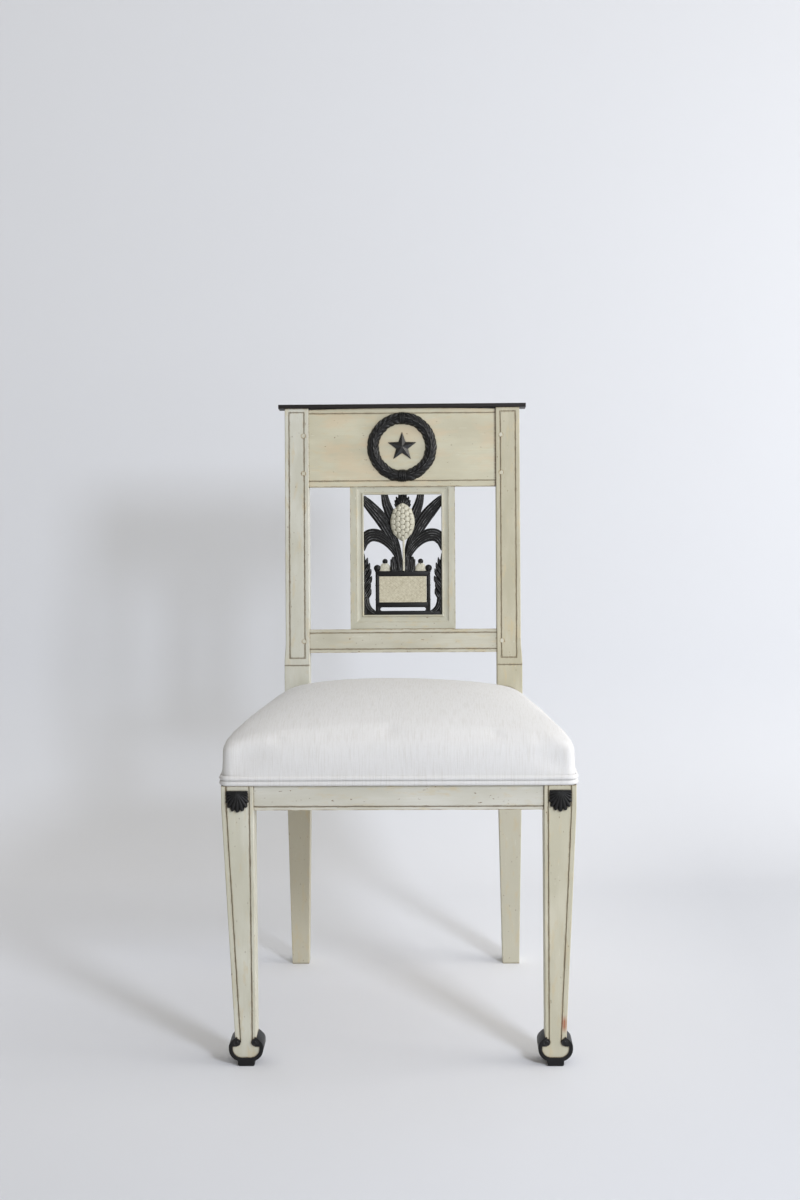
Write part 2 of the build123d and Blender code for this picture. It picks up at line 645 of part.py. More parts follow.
def crest_rail():
    """The crest rail: its top edge is arched up to the cap."""
    arch = ThreePointArc((POST_INNER, CREST_END_TOP), (0, POST_END), (-POST_INNER, CREST_END_TOP))
    straight = Polyline((-POST_INNER, CREST_END_TOP), (-POST_INNER, CREST_BOTTOM),
                        (POST_INNER, CREST_BOTTOM), (POST_INNER, CREST_END_TOP))
    front = -RAIL_RECESS
    body = Pos(0, 0, front - RAIL_THICKNESS) * extrude(make_face([arch, straight]), RAIL_THICKNESS)
    for v in (CREST_BOTTOM + CREST_LINE_BOTTOM, CREST_END_TOP - CREST_LINE_TOP):
        body -= line_across(v)
    body -= splat_tongue(CREST_BOTTOM, TONGUE_HEIGHT + TONGUE_GAP, TONGUE_GAP)
    return on_back(body) + crest_tenon() + mirrored(crest_tenon())


def lower_rail():
    """The rail under the splat."""
    front = -RAIL_RECESS
    body = box_between((-POST_INNER, LOWER_RAIL_BOTTOM, front - RAIL_THICKNESS),
                       (POST_INNER, LOWER_RAIL_TOP, front))
    for v in (LOWER_RAIL_BOTTOM + LOWER_RAIL_LINES - GROOVE_WIDTH, LOWER_RAIL_TOP - LOWER_RAIL_LINES):
        body -= line_across(v)
    groove = TONGUE_HEIGHT + TONGUE_GAP
    body -= splat_tongue(LOWER_RAIL_TOP - groove, groove, TONGUE_GAP)
    return on_back(body) + lower_tenon() + mirrored(lower_tenon())


def splat_tongue(bottom, height, gap=0.0):
    """The tongue above or below the splat frame, in the plane of the back."""
    half = SPLAT_WIDTH / 2 - TONGUE_MARGIN + gap
    middle = -MEMBER_RECESS - MEMBER_THICKNESS / 2
    thick = TONGUE_THICKNESS / 2 + gap
    return box_between((-half, bottom, middle - thick), (half, bottom + height, middle + thick))


def cap():
    """The thin board that covers the post ends and the crest rail."""
    depth = CAP_FRONT + POST_TOP_DEPTH + CAP_BACK
    middle = CAP_FRONT - depth / 2
    board = Pos(0, POST_END + CAP_THICKNESS / 2, middle) * Box(CAP_LENGTH, CAP_THICKNESS, depth)
    return on_back(fillet(board.edges().filter_by(Axis.X), CAP_ROUND))


def wreath():
    """A ring of half-round section, standing on the face of the crest rail."""
    middle = (WREATH_OUTER + WREATH_INNER) / 2
    left = (WREATH_INNER, 0)
    right = (WREATH_OUTER, 0)
    section = make_face([ThreePointArc(left, (middle, WREATH_RISE), right), Line(right, left)])
    ring = revolve(Plane.XZ * section, Axis.Z)
    return on_back(Pos(0, CREST_BOTTOM + WREATH_HEIGHT, -RAIL_RECESS) * ring)


def star():
    """A faceted star: every point falls from the middle in two planes."""
    corners = []
    for index in range(2 * STAR_POINTS):
        radius = STAR_INNER if index % 2 else STAR_OUTER
        angle = math.pi * (1 / 2 + index / STAR_POINTS)
        corners.append((radius * math.cos(angle), radius * math.sin(angle)))
    face = polygon(corners)
    edge = extrude(face, STAR_EDGE)
    facets = loft([Pos(0, 0, STAR_EDGE) * face, Vertex(0, 0, STAR_EDGE + STAR_RISE)])
    return on_back(Pos(0, CREST_BOTTOM + WREATH_HEIGHT, -RAIL_RECESS) * (edge + facets))


def moulding_face(width):
    """Section of a frame member, from the opening outwards, n up: bead, hollow, step, fillet."""
    front = -MEMBER_RECESS
    back = front - MEMBER_THICKNESS
    hollow_end = MEMBER_BEAD + MEMBER_HOLLOW
    bead_foot = (0, front - HOLLOW_DEPTH)
    bead_top = (MEMBER_BEAD / 2, front - HOLLOW_DEPTH / 4)
    bead_end = (MEMBER_BEAD, front - HOLLOW_DEPTH)
    hollow_middle = (MEMBER_BEAD + MEMBER_HOLLOW / 2, front - HOLLOW_DEPTH)
    step_foot = (hollow_end, front - MEMBER_STEP)
    lines = [
        Line((REBATE_WIDTH, back), (REBATE_WIDTH, PANEL_FRONT)),
        Line((REBATE_WIDTH, PANEL_FRONT), (0, PANEL_FRONT)),
        Line((0, PANEL_FRONT), bead_foot),
        ThreePointArc(bead_foot, bead_top, bead_end),
        ThreePointArc(bead_end, hollow_middle, step_foot),
        Line(step_foot, (hollow_end, front)),
        Line((hollow_end, front), (width, front)),
        Line((width, front), (width, back)),
        Line((width, back), (REBATE_WIDTH, back)),
    ]
    return make_face(lines)


def mitre_block(inner_edge, outer_edge):
    """What lies between two mitres: from an edge of the opening out to a longer line."""
    thick = 2 * (MEMBER_RECESS + MEMBER_THICKNESS)
    return Pos(0, 0, -thick) * extrude(polygon(inner_edge + outer_edge), thick)


def frame_side():
    """The right side of the splat frame, mitred below and above."""
    section = Pos(OPENING_HALF, 0) * moulding_face(MEMBER_WIDTH)
    upright = Plane(origin=(0, LOWER_RAIL_TOP, 0), x_dir=(1, 0, 0), z_dir=(0, -1, 0))
    stick = upright * extrude(section, LOWER_RAIL_TOP - CREST_BOTTOM)
    reach = SPLAT_WIDTH
    return on_back(stick & mitre_block(
        [(OPENING_HALF, OPENING_BOTTOM), (OPENING_HALF, OPENING_TOP)],
        [(OPENING_HALF + reach, OPENING_TOP + reach), (OPENING_HALF + reach, OPENING_BOTTOM - reach)],
    ))


def frame_end(opening_edge, width, outwards, tongue_bottom):
    """The top or bottom member of the splat frame, with its tongue."""
    along = Plane(origin=(0, opening_edge, 0), x_dir=(0, outwards, 0), z_dir=(outwards, 0, 0))
    stick = along * extrude(moulding_face(width), SPLAT_WIDTH / 2, both=True)
    reach = SPLAT_WIDTH
    far = opening_edge + outwards * reach
    stick = stick & mitre_block(
        [(-OPENING_HALF, opening_edge), (OPENING_HALF, opening_edge)],
        [(OPENING_HALF + reach, far), (-OPENING_HALF - reach, far)],
    )
    return on_back(stick + splat_tongue(tongue_bottom, TONGUE_HEIGHT))


def frame_bottom():
    return frame_end(OPENING_BOTTOM, MEMBER_BOTTOM, -1, LOWER_RAIL_TOP - TONGUE_HEIGHT)


def frame_top():
    return frame_end(OPENING_TOP, MEMBER_TOP, 1, CREST_BOTTOM)


# ---- Openwork ----
def across(share):
    """Millimetres from the middle line, from a share of half the opening's width."""
    return share * OPENING_HALF


def up(share):
    """Millimetres above the bottom of the opening, from a share of its height."""
    return share * OPENING_HEIGHT


def curve(start, bulge, end):
    """An arc of the drawing through three points given in shares."""
    return ThreePointArc(*[(across(x), up(y)) for x, y in (start, bulge, end)])


def straight(*points):
    """A straight run of the drawing through points given in shares."""
    return Polyline(*[(across(x), up(y)) for x, y in points])


def plant_outline():
    """Right half of the plant above the planter: crown, three leaves and the small leaf at the root."""
    side = 1 + LEAF_LAP / OPENING_HALF
    crown_foot = (CROWN_HALF_WIDTH, CROWN_FOOT)
    inner_notch = (0.244, 0.885)
    inner_tip_in = (0.400, 1)
    inner_tip_out = (0.547, 1)
    outer_notch = (0.465, 0.854)
    outer_tip_in = (0.910, 1)
    outer_tip_low = (side, 0.888)
    low_notch = (0.518, 0.697)
    low_tip = (side, 0.691)
    low_tip_end = (side, 0.525)
    low_turn = (0.801, 0.616)
    root_notch = (0.210, 0.477)
    root_tip = (0.316, 0.476)
    rail_top = planter_top()
    root_foot = (0.319, rail_top)
    return [
        straight((0, 1), (CROWN_TIP, 1)),
        curve((CROWN_TIP, 1), (0.146, 0.951), crown_foot),
        straight(crown_foot, inner_notch),
        curve(inner_notch, (0.306, 0.924), inner_tip_in),
        straight(inner_tip_in, inner_tip_out),
        curve(inner_tip_out, (0.536, 0.920), outer_notch),
        curve(outer_notch, (0.662, 0.914), outer_tip_in),
        straight(outer_tip_in, (side, 1), outer_tip_low),
        curve(outer_tip_low, (0.747, 0.787), low_notch),
        curve(low_notch, (0.764, 0.715), low_tip),
        straight(low_tip, low_tip_end),
        curve(low_tip_end, (0.893, 0.567), low_turn),
        curve(low_turn, (0.509, 0.569), root_notch),
        straight(root_notch, root_tip),
        curve(root_tip, (0.299, 0.423), root_foot),
        straight(root_foot, (0, rail_top), (0, 1)),
    ]


def acanthus_outline():
    """The lobed leaf along the right side of the frame, down to the base strip."""
    side = 1 + LEAF_LAP / OPENING_HALF
    tip = (side, 0.503)
    notches = [(0.907, 0.442), (0.842, 0.378), (0.832, 0.316), (0.852, 0.215)]
    bulges = [(0.910, 0.478), (0.846, 0.415), (0.798, 0.346), (0.788, 0.272)]
    waist = (0.893, 0.082)
    edges = []
    start = tip
    for notch, bulge in zip(notches, bulges):
        edges.append(curve(start, bulge, notch))
        start = notch
    edges.append(curve(start, (0.842, 0.148), waist))
    edges.append(straight(waist, (ACANTHUS_FOOT, BASE_STRIP), (ACANTHUS_FOOT, 0), (side, 0), tip))
    return edges


def planter_top():
    """The upper edge of the planter's top rail, as a share of the opening's height."""
    return PLANTER_BOTTOM + PLANTER_PANEL_HEIGHT + PLANTER_RAIL


def block_up(half, bottom, top):
    """A rectangle about the middle line, given in shares."""
    return Pos(0, up((bottom + top) / 2)) * Rectangle(2 * across(half), up(top - bottom))


def stem_slit(side):
    """The narrow gap beside the stem, widest under the fruit."""
    inner = STEM_SHIFT + side * STEM_WIDTH / 2
    outer = inner + side * STEM_SLIT_WIDTH
    return make_face(straight(
        (inner, STEM_SLIT_BOTTOM), (inner, STEM_SLIT_TOP), (outer, STEM_SLIT_TOP), (inner, STEM_SLIT_BOTTOM),
    ))


def planter_opening(gap=0.0):
    """The opening that the planter's panel is let into, or the panel itself with a gap all round."""
    middle = PLANTER_BOTTOM + PLANTER_PANEL_HEIGHT / 2
    width = 2 * (across(PLANTER_HALF_WIDTH - PLANTER_POST) - gap)
    return Pos(0, up(middle)) * Rectangle(width, up(PLANTER_PANEL_HEIGHT) - 2 * gap)


def openwork_face():
    """The black openwork seen from the front, without its hidden border."""
    half = make_face(plant_outline()) + make_face(acanthus_outline())
    face = half + mirror(half, about=Plane.YZ)
    face += block_up(PLANTER_HALF_WIDTH, 0, planter_top())
    face += block_up(1, 0, BASE_STRIP)
    face -= planter_opening()
    slot = SlotOverall(2 * across(SLOT_HALF_WIDTH), up(SLOT_HEIGHT))
    face -= Pos(0, up(BASE_STRIP + SLOT_HEIGHT / 2)) * slot
    for side in (-1, 1):
        face -= stem_slit(side)
    return face


def openwork():
    """The pierced panel, with the border that lies hidden in the frame's rebate."""
    carved = extrude(openwork_face(), PANEL_THICKNESS)
    margin = REBATE_WIDTH - LET_IN_GAP
    middle = Pos(0, OPENING_HEIGHT / 2)
    outer = middle * Rectangle(2 * (OPENING_HALF + margin), OPENING_HEIGHT + 2 * margin)
    border = outer - middle * Rectangle(2 * OPENING_HALF, OPENING_HEIGHT)
    return on_panel(carved + extrude(border, PANEL_THICKNESS))


def on_panel(shape):
    """A piece drawn on the back of the openwork, measured up from the bottom of the opening."""
    return on_back(Pos(0, OPENING_BOTTOM, PANEL_FRONT - PANEL_THICKNESS) * shape)


def fruit():
    """The fruit and its stem as one carved piece on the face of the openwork."""
    egg = scale(Sphere(1), by=(across(FRUIT_HALF_WIDTH), up(FRUIT_HALF_HEIGHT), FRUIT_RISE))
    egg = egg & box_between((-BIG, -BIG, 0), (BIG, BIG, BIG))
    egg = Pos(0, up(FRUIT_CENTRE), PANEL_THICKNESS) * egg
    stem = box_between(
        (across(STEM_SHIFT - STEM_WIDTH / 2), up(planter_top()), PANEL_THICKNESS),
        (across(STEM_SHIFT + STEM_WIDTH / 2), up(FRUIT_CENTRE - FRUIT_HALF_HEIGHT / 2),
         PANEL_THICKNESS + STEM_RISE),
    )
    return on_panel(egg + stem)


def planter_panel():
    """The panel let into the planter."""
    low = PANEL_THICKNESS - PLANTER_PANEL_THICKNESS
    return on_panel(Pos(0, 0, low) * extrude(planter_opening(LET_IN_GAP), PLANTER_PANEL_THICKNESS))


def ball_on(x, base, radius):
    """A turned ball in the middle of the panel's thickness, flattened where it stands."""
    ball = Pos(x, base + radius / 2, PANEL_THICKNESS / 2) * Sphere(radius)
    return ball - box_between((-BIG, -BIG, -BIG), (BIG, base, BIG))


def corner_ball():
    """The ball on the planter's right post."""
    return ball_on(across(PLANTER_HALF_WIDTH - PLANTER_POST / 2), up(planter_top()), FINIAL_BALL)


def planter_buds():
    """Two buds that stand on the planter's top rail, between the root leaves and the corner balls."""
    foot = planter_top()
    tip = foot + BUD_HEIGHT
    outline = make_face(straight(
        (BUD_CENTRE - BUD_BASE / 2, foot), (BUD_CENTRE + BUD_BASE / 2, foot),
        (BUD_CENTRE + BUD_TOP / 2, tip), (BUD_CENTRE - BUD_TOP / 2, tip), (BUD_CENTRE - BUD_BASE / 2, foot),
    ))
    low = (PANEL_THICKNESS - BUD_THICKNESS) / 2
    bud = Pos(0, 0, low) * extrude(outline - openwork_face(), BUD_THICKNESS)
    bud -= corner_ball()
    return [on_panel(bud), on_panel(mirrored(bud))]


def planter_finials():
    """Four balls: two on the planter's corners and one on each bud."""
    corner = corner_ball()
    tip = ball_on(across(BUD_CENTRE), up(planter_top() + BUD_HEIGHT), BUD_BALL)
    return [on_panel(ball) for ball in (corner, mirrored(corner), tip, mirrored(tip))]


# ---- Upholstery ----
def web_straps():
    """Three straps from front to back and three across, one layer on the other."""
    edge = COVER_THICKNESS + WEB_END
    core = extrude(seat_outline(edge, REAR_FACE - edge), WEB_THICKNESS)
    straps = []
    for index in range(WEB_COUNT):
        place = index - (WEB_COUNT - 1) / 2
        strip = box_between((place * WEB_PITCH_ACROSS - WEB_WIDTH / 2, -BIG, 0),
                            (place * WEB_PITCH_ACROSS + WEB_WIDTH / 2, BIG, WEB_THICKNESS))
        straps.append(Pos(0, 0, WEB_BOTTOM) * (core & strip))
    middle = (SEAT_RAIL_RECESS + SEAT_RAIL_THICKNESS + SEAT_DEPTH) / 2
    for index in range(WEB_COUNT):
        y = middle + (index - (WEB_COUNT - 1) / 2) * WEB_PITCH_ALONG
        strip = box_between((-BIG, y - WEB_WIDTH / 2, 0), (BIG, y + WEB_WIDTH / 2, WEB_THICKNESS))
        straps.append(Pos(0, 0, WEB_BOTTOM + WEB_THICKNESS) * (core & strip))
    return straps


def post_notches():
    """The space that the upholstery leaves for both posts."""
    right = box_between((POST_INNER - CLOTH_GAP, SEAT_DEPTH - CLOTH_GAP, 0), (BIG, BIG, HEIGHT))
    return [right, mirrored(right)]


def hessian():
    """The cloth platform between webbing and stuffing."""
    edge = COVER_THICKNESS + WEB_END
    sheet = Pos(0, 0, HESSIAN_BOTTOM) * extrude(seat_outline(edge, REAR_FACE - edge), HESSIAN_THICKNESS)
    for notch in post_notches():
        sheet -= notch
    return sheet


def cushion():
    """Stuffing and linen cover: a crowned pad whose skirt wraps the rails down to the welt."""
    back = REAR_FACE
    outline = seat_outline(0, back)
    front_corners = outline.vertices().group_by(Axis.Y)[0]
    outline = fillet(front_corners, CUSHION_CORNER)
    height = CROWN_TOP - COVER_LINE
    body = Pos(0, 0, COVER_LINE) * extrude(outline, height)
    middle = (0, back / 2, CROWN_TOP - CROWN_RADIUS)
    body = body & (Pos(*middle) * Sphere(CROWN_RADIUS))
    rim = body.edges().filter_by(lambda edge: edge.center().Z > CUSHION_BOTTOM + CUSHION_ROLL / 2)
    rim = rim.filter_by(lambda edge: edge.geom_type != GeomType.LINE)
    body = fillet(rim, CUSHION_ROLL)
    under = seat_outline(COVER_THICKNESS - CLOTH_GAP, back - COVER_THICKNESS + CLOTH_GAP)
    body -= Pos(0, 0, COVER_LINE) * extrude(under, CUSHION_BOTTOM - COVER_LINE)
    for notch in post_notches():
        body -= notch
    return body


def welt_section():
    """Two cords side by side, flat at the back, as (out, up)."""
    cords = Pos(0, WELT_RADIUS) * Circle(WELT_RADIUS) + Pos(0, 3 * WELT_RADIUS) * Circle(WELT_RADIUS)
    neck = Pos(WELT_RADIUS / 4, 2 * WELT_RADIUS) * Rectangle(WELT_RADIUS / 2, WELT_RADIUS)
    back = Pos(WELT_GAP - WELT_RADIUS, 2 * WELT_RADIUS) * Rectangle(2 * WELT_RADIUS, 5 * WELT_RADIUS)
    return Pos(0, WELT_GAP) * (cords + neck - back)


def double_welt():
    """The double cord over the cover's edge: one run round front and sides, one along the back."""
    half = LEG_OUTER
    end = SEAT_DEPTH - CLOTH_GAP
    path = FilletPolyline(
        (-side_x(end), end), (-half, LEG_DEPTH), (-half, 0),
        (half, 0), (half, LEG_DEPTH), (side_x(end), end),
        radius=CUSHION_CORNER,
    )
    path = Pos(0, 0, COVER_LINE) * path
    start = path @ 0
    heading = path % 0
    out = Vector(heading.Y, -heading.X, 0)
    section = Plane(origin=start, x_dir=out, z_dir=-heading) * welt_section()
    around = sweep(section, path)
    inner = POST_INNER - CLOTH_GAP
    rear_plane = Plane(origin=(inner, REAR_FACE, COVER_LINE), x_dir=(0, 1, 0), z_dir=(1, 0, 0))
    rear = rear_plane * extrude(welt_section(), -2 * inner)
    return [around, rear]


# ---- Assembly ----
def build():
    """Every piece by the name of its node."""
    rebate = cover_rebate()
    post_body = post_blank()
    leg_body = leg_blank()
    scroll = foot_scroll()
    bulb = extruded_back(Pos(FOOT_CENTRE, 0) * bulb_face(), 0, FOOT_DEPTH)

    side = side_rail(rebate, leg_body, post_body)
    front = front_rail(rebate)
    rear = rear_rail(rebate)
    block_front, screws_front = corner_block(True, [leg_body, front, side])
    block_rear, screws_rear = corner_block(False, [post_body, rear, side])
    screws = screws_front + screws_rear
    both_screws = screws + [mirrored(screw) for screw in screws]

    post = post_body
    for cutter in post_lines() + [crest_tenon(TENON_GAP), lower_tenon(TENON_GAP), rear_tenon(TENON_GAP)]:
        post -= cutter
    for cutter in [side_tenons(TENON_GAP)[1]] + pegs(PEG_GAP) + screws_rear:
        post -= cutter

    leg = leg_body + bulb - scroll - rebate
    for cutter in leg_lines() + [front_tenon(TENON_GAP), side_tenons(TENON_GAP)[0]] + screws_front:
        leg -= cutter

    for screw in screws:
        side -= screw
        block_front -= screw
        block_rear -= screw
    for screw in both_screws:
        front -= screw
        rear -= screw

    all_pegs = pegs() + [mirrored(peg) for peg in pegs()]
    crest = crest_rail()
    lower = lower_rail()
    for hole in pegs(PEG_GAP):
        crest = crest - hole - mirrored(hole)
        lower = lower - hole - mirrored(hole)

    pieces = {
        "front_rail": front,
        "rear_rail": rear,
        "crest_rail": crest,
        "lower_back_rail": lower,
        "cap_moulding": cap(),
        "wreath": wreath(),
        "star": star(),
        "splat_frame_top": frame_top(),
        "splat_frame_bottom": frame_bottom(),
        "splat_openwork": openwork(),
        "pineapple": fruit(),
        "planter_panel": planter_panel(),
        "planter_buds": planter_buds(),
        "planter_finials": planter_finials(),
        "joint_pegs": all_pegs,
        "corner_block_screws": both_screws,
        "seat_webbing": web_straps(),
        "seat_hessian": hessian(),
        "seat_cushion": cushion(),
        "double_welt": double_welt(),
    }
    paired = {
        "rear_post": post,
        "front_leg": leg,
        "side_rail": side,
        "splat_frame_side": frame_side(),
        "leg_shell": shell(),
        "foot_scroll": scroll,
        "corner_block_front": block_front,
        "corner_block_rear": block_rear,
    }
    for name, piece in paired.items():
        pieces[name + "_right"] = piece
        pieces[name + "_left"] = mirrored(piece)
    return pieces


def solids_of(piece):
    """A piece or a group of pieces as a plain list of solids."""
    parts = piece if isinstance(piece, list) else [piece]
    return [solid for part in parts for solid in part.solids()]


def write(pieces):
    """Centre the chair over its origin and write each node to its own file."""
    os.makedirs("parts", exist_ok=True)
    groups = {name: solids_of(piece) for name, piece in pieces.items()}
    boxes = [solid.bounding_box() for group in groups.values() for solid in group]
    front = min(box.min.Y for box in boxes)
    back = max(box.max.Y for box in boxes)
    centre = Pos(0, -(front + back) / 2, 0)
    for name, group in groups.items():
        moved = [centre * solid for solid in group]
        shape = moved[0] if len(moved) == 1 else Compound(children=moved)
        export_step(shape, f"parts/{name}.step")
    height = max(box.max.Z for box in boxes)
    print(len(groups), "nodes; depth", round(back - front, 2), "height", round(height, 2))


write(build())
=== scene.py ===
# %% [markdown]
# # A painted side chair
# The chair stands in a plain pale studio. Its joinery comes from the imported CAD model, which is loaded as a
# fixed frame. Carving, upholstery and every finish are made here, piece by piece, in the chair's own place.

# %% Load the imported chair
import math
import random

import bpy
from mathutils import Matrix, Vector, noise


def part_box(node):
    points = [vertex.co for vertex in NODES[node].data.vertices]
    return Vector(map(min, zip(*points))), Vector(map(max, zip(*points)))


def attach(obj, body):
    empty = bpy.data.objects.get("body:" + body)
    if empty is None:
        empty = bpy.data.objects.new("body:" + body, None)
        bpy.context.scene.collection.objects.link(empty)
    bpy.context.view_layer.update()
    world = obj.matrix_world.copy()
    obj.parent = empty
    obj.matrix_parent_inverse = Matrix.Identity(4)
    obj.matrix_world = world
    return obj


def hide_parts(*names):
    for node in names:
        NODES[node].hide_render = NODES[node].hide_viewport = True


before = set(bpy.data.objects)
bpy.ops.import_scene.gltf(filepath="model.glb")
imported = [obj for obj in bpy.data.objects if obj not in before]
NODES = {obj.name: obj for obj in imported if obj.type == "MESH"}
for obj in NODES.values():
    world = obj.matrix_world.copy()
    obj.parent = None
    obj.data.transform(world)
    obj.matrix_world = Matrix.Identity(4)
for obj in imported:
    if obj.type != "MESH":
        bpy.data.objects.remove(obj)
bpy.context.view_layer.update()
MM = 0.001
random.seed(7)

# %% [markdown]
# ## Camera
# The chair is seen straight on from a little above the top of its back, with a normal 50 mm lens, so that the
# uprights stay nearly parallel and the seat shows a little of its top. The small turns are those of a camera
# held by hand.

# %% Camera
CAMERA_PLACE = (0.0484, -2.3288, 0.868)
CAMERA_YAW = math.radians(1.209)      # turned to the left
CAMERA_PITCH = math.radians(-6.886)   # looking down
CAMERA_ROLL = math.radians(-0.478)
LENS = 50.06                          # on a 36 mm wide sensor, along the image's long side


def camera_turn(yaw, pitch, roll):
    """The camera's right, up and backward directions as the columns of a matrix."""
    ahead = Vector((-math.sin(yaw) * math.cos(pitch), math.cos(yaw) * math.cos(pitch), math.sin(pitch)))
    level = Vector((math.cos(yaw), math.sin(yaw), 0))
    upward = level.cross(ahead)
    right = level * math.cos(roll) + upward * math.sin(roll)
    up = upward * math.cos(roll) - level * math.sin(roll)
    return Matrix((right, up, -ahead)).transposed()


def make_camera():
    data = bpy.data.cameras.new("camera")
    data.lens = LENS
    data.sensor_width = 36
    data.clip_start = 0.05
    camera = bpy.data.objects.new("camera", data)
    bpy.context.scene.collection.objects.link(camera)
    turn = camera_turn(CAMERA_YAW, CAMERA_PITCH, CAMERA_ROLL)
    camera.matrix_world = Matrix.Translation(CAMERA_PLACE) @ turn.to_4x4()
    bpy.context.scene.camera = camera
    print("camera at", CAMERA_PLACE)


make_camera()

# %% [markdown]
# ## Colours and nodes
# Finishes are written as hex codes, the way a paint maker writes them. Shaders count in linear light, so one
# function turns each code over. The others add nodes with their values and links, and lay colours and bumps
# over one another.

# %% Colour and node helpers
def colour(code):
    """An sRGB hex code as linear red, green, blue and alpha."""
    parts = [int(code[i:i + 2], 16) / 255 for i in (1, 3, 5)]
    linear = [p / 12.92 if p <= 0.04045 else ((p + 0.055) / 1.055) ** 2.4 for p in parts]
    return (*linear, 1.0)


def fill(tree, socket, value):
    """Links a socket, or sets a value. A hex code becomes its colour."""
    if isinstance(value, bpy.types.NodeSocket):
        tree.links.new(value, socket)
    else:
        socket.default_value = colour(value) if isinstance(value, str) else value


def add(tree, kind, inputs=None, **settings):
    """Adds one shader node. inputs holds values, or sockets to link; settings holds the node's own options."""
    made = tree.nodes.new("ShaderNode" + kind)
    for name, value in settings.items():
        setattr(made, name, value)
    for name, value in (inputs or {}).items():
        fill(tree, made.inputs[name], value)
    return made


def new_material(name):
    material = bpy.data.materials.new(name)
    material.use_nodes = True
    material.node_tree.nodes.clear()
    return material, material.node_tree


def place_of(tree):
    """The place on the chair, in its own coordinates."""
    return add(tree, "TexCoord").outputs["Object"]


def axes_of(tree, vector=None):
    """The X, Y and Z of a vector, or of the place on the chair."""
    return add(tree, "SeparateXYZ", {"Vector": vector or place_of(tree)}).outputs


def stretched(tree, across_mm, along_mm, along):
    """The place counted in spots of this size, long in one direction: X, Y or Z."""
    scale = [1 / (across_mm * MM)] * 3
    scale["XYZ".index(along)] = 1 / (along_mm * MM)
    return add(tree, "Mapping", {"Vector": place_of(tree), "Scale": scale}).outputs["Vector"]


def spots(tree, place, detail=3.0, rough=0.5):
    """A soft noise between 0 and 1, one spot to a unit."""
    made = add(tree, "TexNoise", {"Vector": place, "Scale": 1.0, "Detail": detail, "Roughness": rough})
    return made.outputs["Fac"]


def ramp(tree, value, low, high, start=0.0, end=1.0):
    """Turns a value between low and high into one between start and end."""
    made = add(tree, "MapRange",
               {"Value": value, "From Min": low, "From Max": high, "To Min": start, "To Max": end})
    return made.outputs["Result"]


def maths(tree, operation, *values):
    return add(tree, "Math", dict(enumerate(values)), operation=operation).outputs[0]


def times(tree, first, second):
    return maths(tree, "MULTIPLY", first, second)


def distance_from(tree, value, middle):
    return maths(tree, "ABSOLUTE", maths(tree, "SUBTRACT", value, middle))


def tinted(tree, amount, under, over):
    """A colour, or socket, with another laid over it by amount. Sockets 6 and 7 are the colour ones."""
    return add(tree, "Mix", {"Factor": amount, 6: under, 7: over}, data_type="RGBA").outputs[2]


def layered(tree, base, layers):
    """A colour with thin layers over it, each given as its amount and its colour."""
    for amount, over in layers:
        base = tinted(tree, amount, base, over)
    return base


def finish(tree, base, roughness, heights, more=None):
    """The shader itself, with bumps given as (height, distance in mm) pairs and more of its inputs."""
    inputs = {"Base Color": base, "Roughness": roughness, **(more or {})}
    for height, distance in heights:
        bump = {"Height": height, "Strength": 1.0, "Distance": distance * MM}
        if "Normal" in inputs:
            bump["Normal"] = inputs["Normal"]
        inputs["Normal"] = add(tree, "Bump", bump).outputs["Normal"]
    shader = add(tree, "BsdfPrincipled", inputs)
    add(tree, "OutputMaterial", {"Surface": shader.outputs["BSDF"]})


print("helpers ready")

# %% [markdown]
# ## The plane of the back
# The back leans, so everything on it is drawn flat first: across, up along the back, and out towards the
# sitter. One matrix then lays it on the crest rail's face.

# %% The back's own frame
RAKE = math.radians(7.4)
RAIL_THICKNESS = 19 * MM
crest_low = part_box("crest_rail")[0]
UP_BACK = Vector((0, math.sin(RAKE), math.cos(RAKE)))
OUT_BACK = Vector((0, -math.cos(RAKE), math.sin(RAKE)))
CREST_FOOT = Vector((0, crest_low.y, crest_low.z + RAIL_THICKNESS * math.sin(RAKE)))
ON_BACK = Matrix.Translation(CREST_FOOT) @ Matrix((Vector((1, 0, 0)), UP_BACK, OUT_BACK)).transposed().to_4x4()
OPENING_HALF = 58.9          # half the splat opening's width, in mm
OPENING_HEIGHT = 182.0
OPENING_FOOT = -194.2        # below the crest rail's lower edge, along the back
print("crest foot", CREST_FOOT)

# %% [markdown]
# ## Old oil paint on pine
# The frame is pine under thin oil paint, laid on with a brush along each stick and rubbed by two centuries of
# hands. Three things give it away: streaks left by the bristles, ochre undercoat and brown wood where the edges
# have worn through, and brown in the scratched lines and corners, which stands for dirt and for painted shade. The
# edges are found with a Bevel node: where the rounded normal differs from the true one there is an edge, outward or
# inward. The legs under the seat are darkened with painted shade.

# %% Paint on wood
def edge_mask(tree, radius_mm, low=0.80):
    """High along every edge of a piece, within about the radius."""
    rounded = add(tree, "Bevel", {"Radius": radius_mm * MM}, samples=8).outputs["Normal"]
    true = add(tree, "NewGeometry").outputs["True Normal"]
    same = add(tree, "VectorMath", {0: rounded, 1: true}, operation="DOT_PRODUCT").outputs["Value"]
    return ramp(tree, same, 0.995, low)


def dirt_and_shade_mask(tree, distance_mm):
    """High in the corners where pieces meet and in cut lines, where shade falls; it marks grime and painted shade
    there.
    """
    open_sky = add(tree, "AmbientOcclusion", {"Distance": distance_mm * MM}, samples=8).outputs["AO"]
    return ramp(tree, open_sky, 0.80, 0.40)


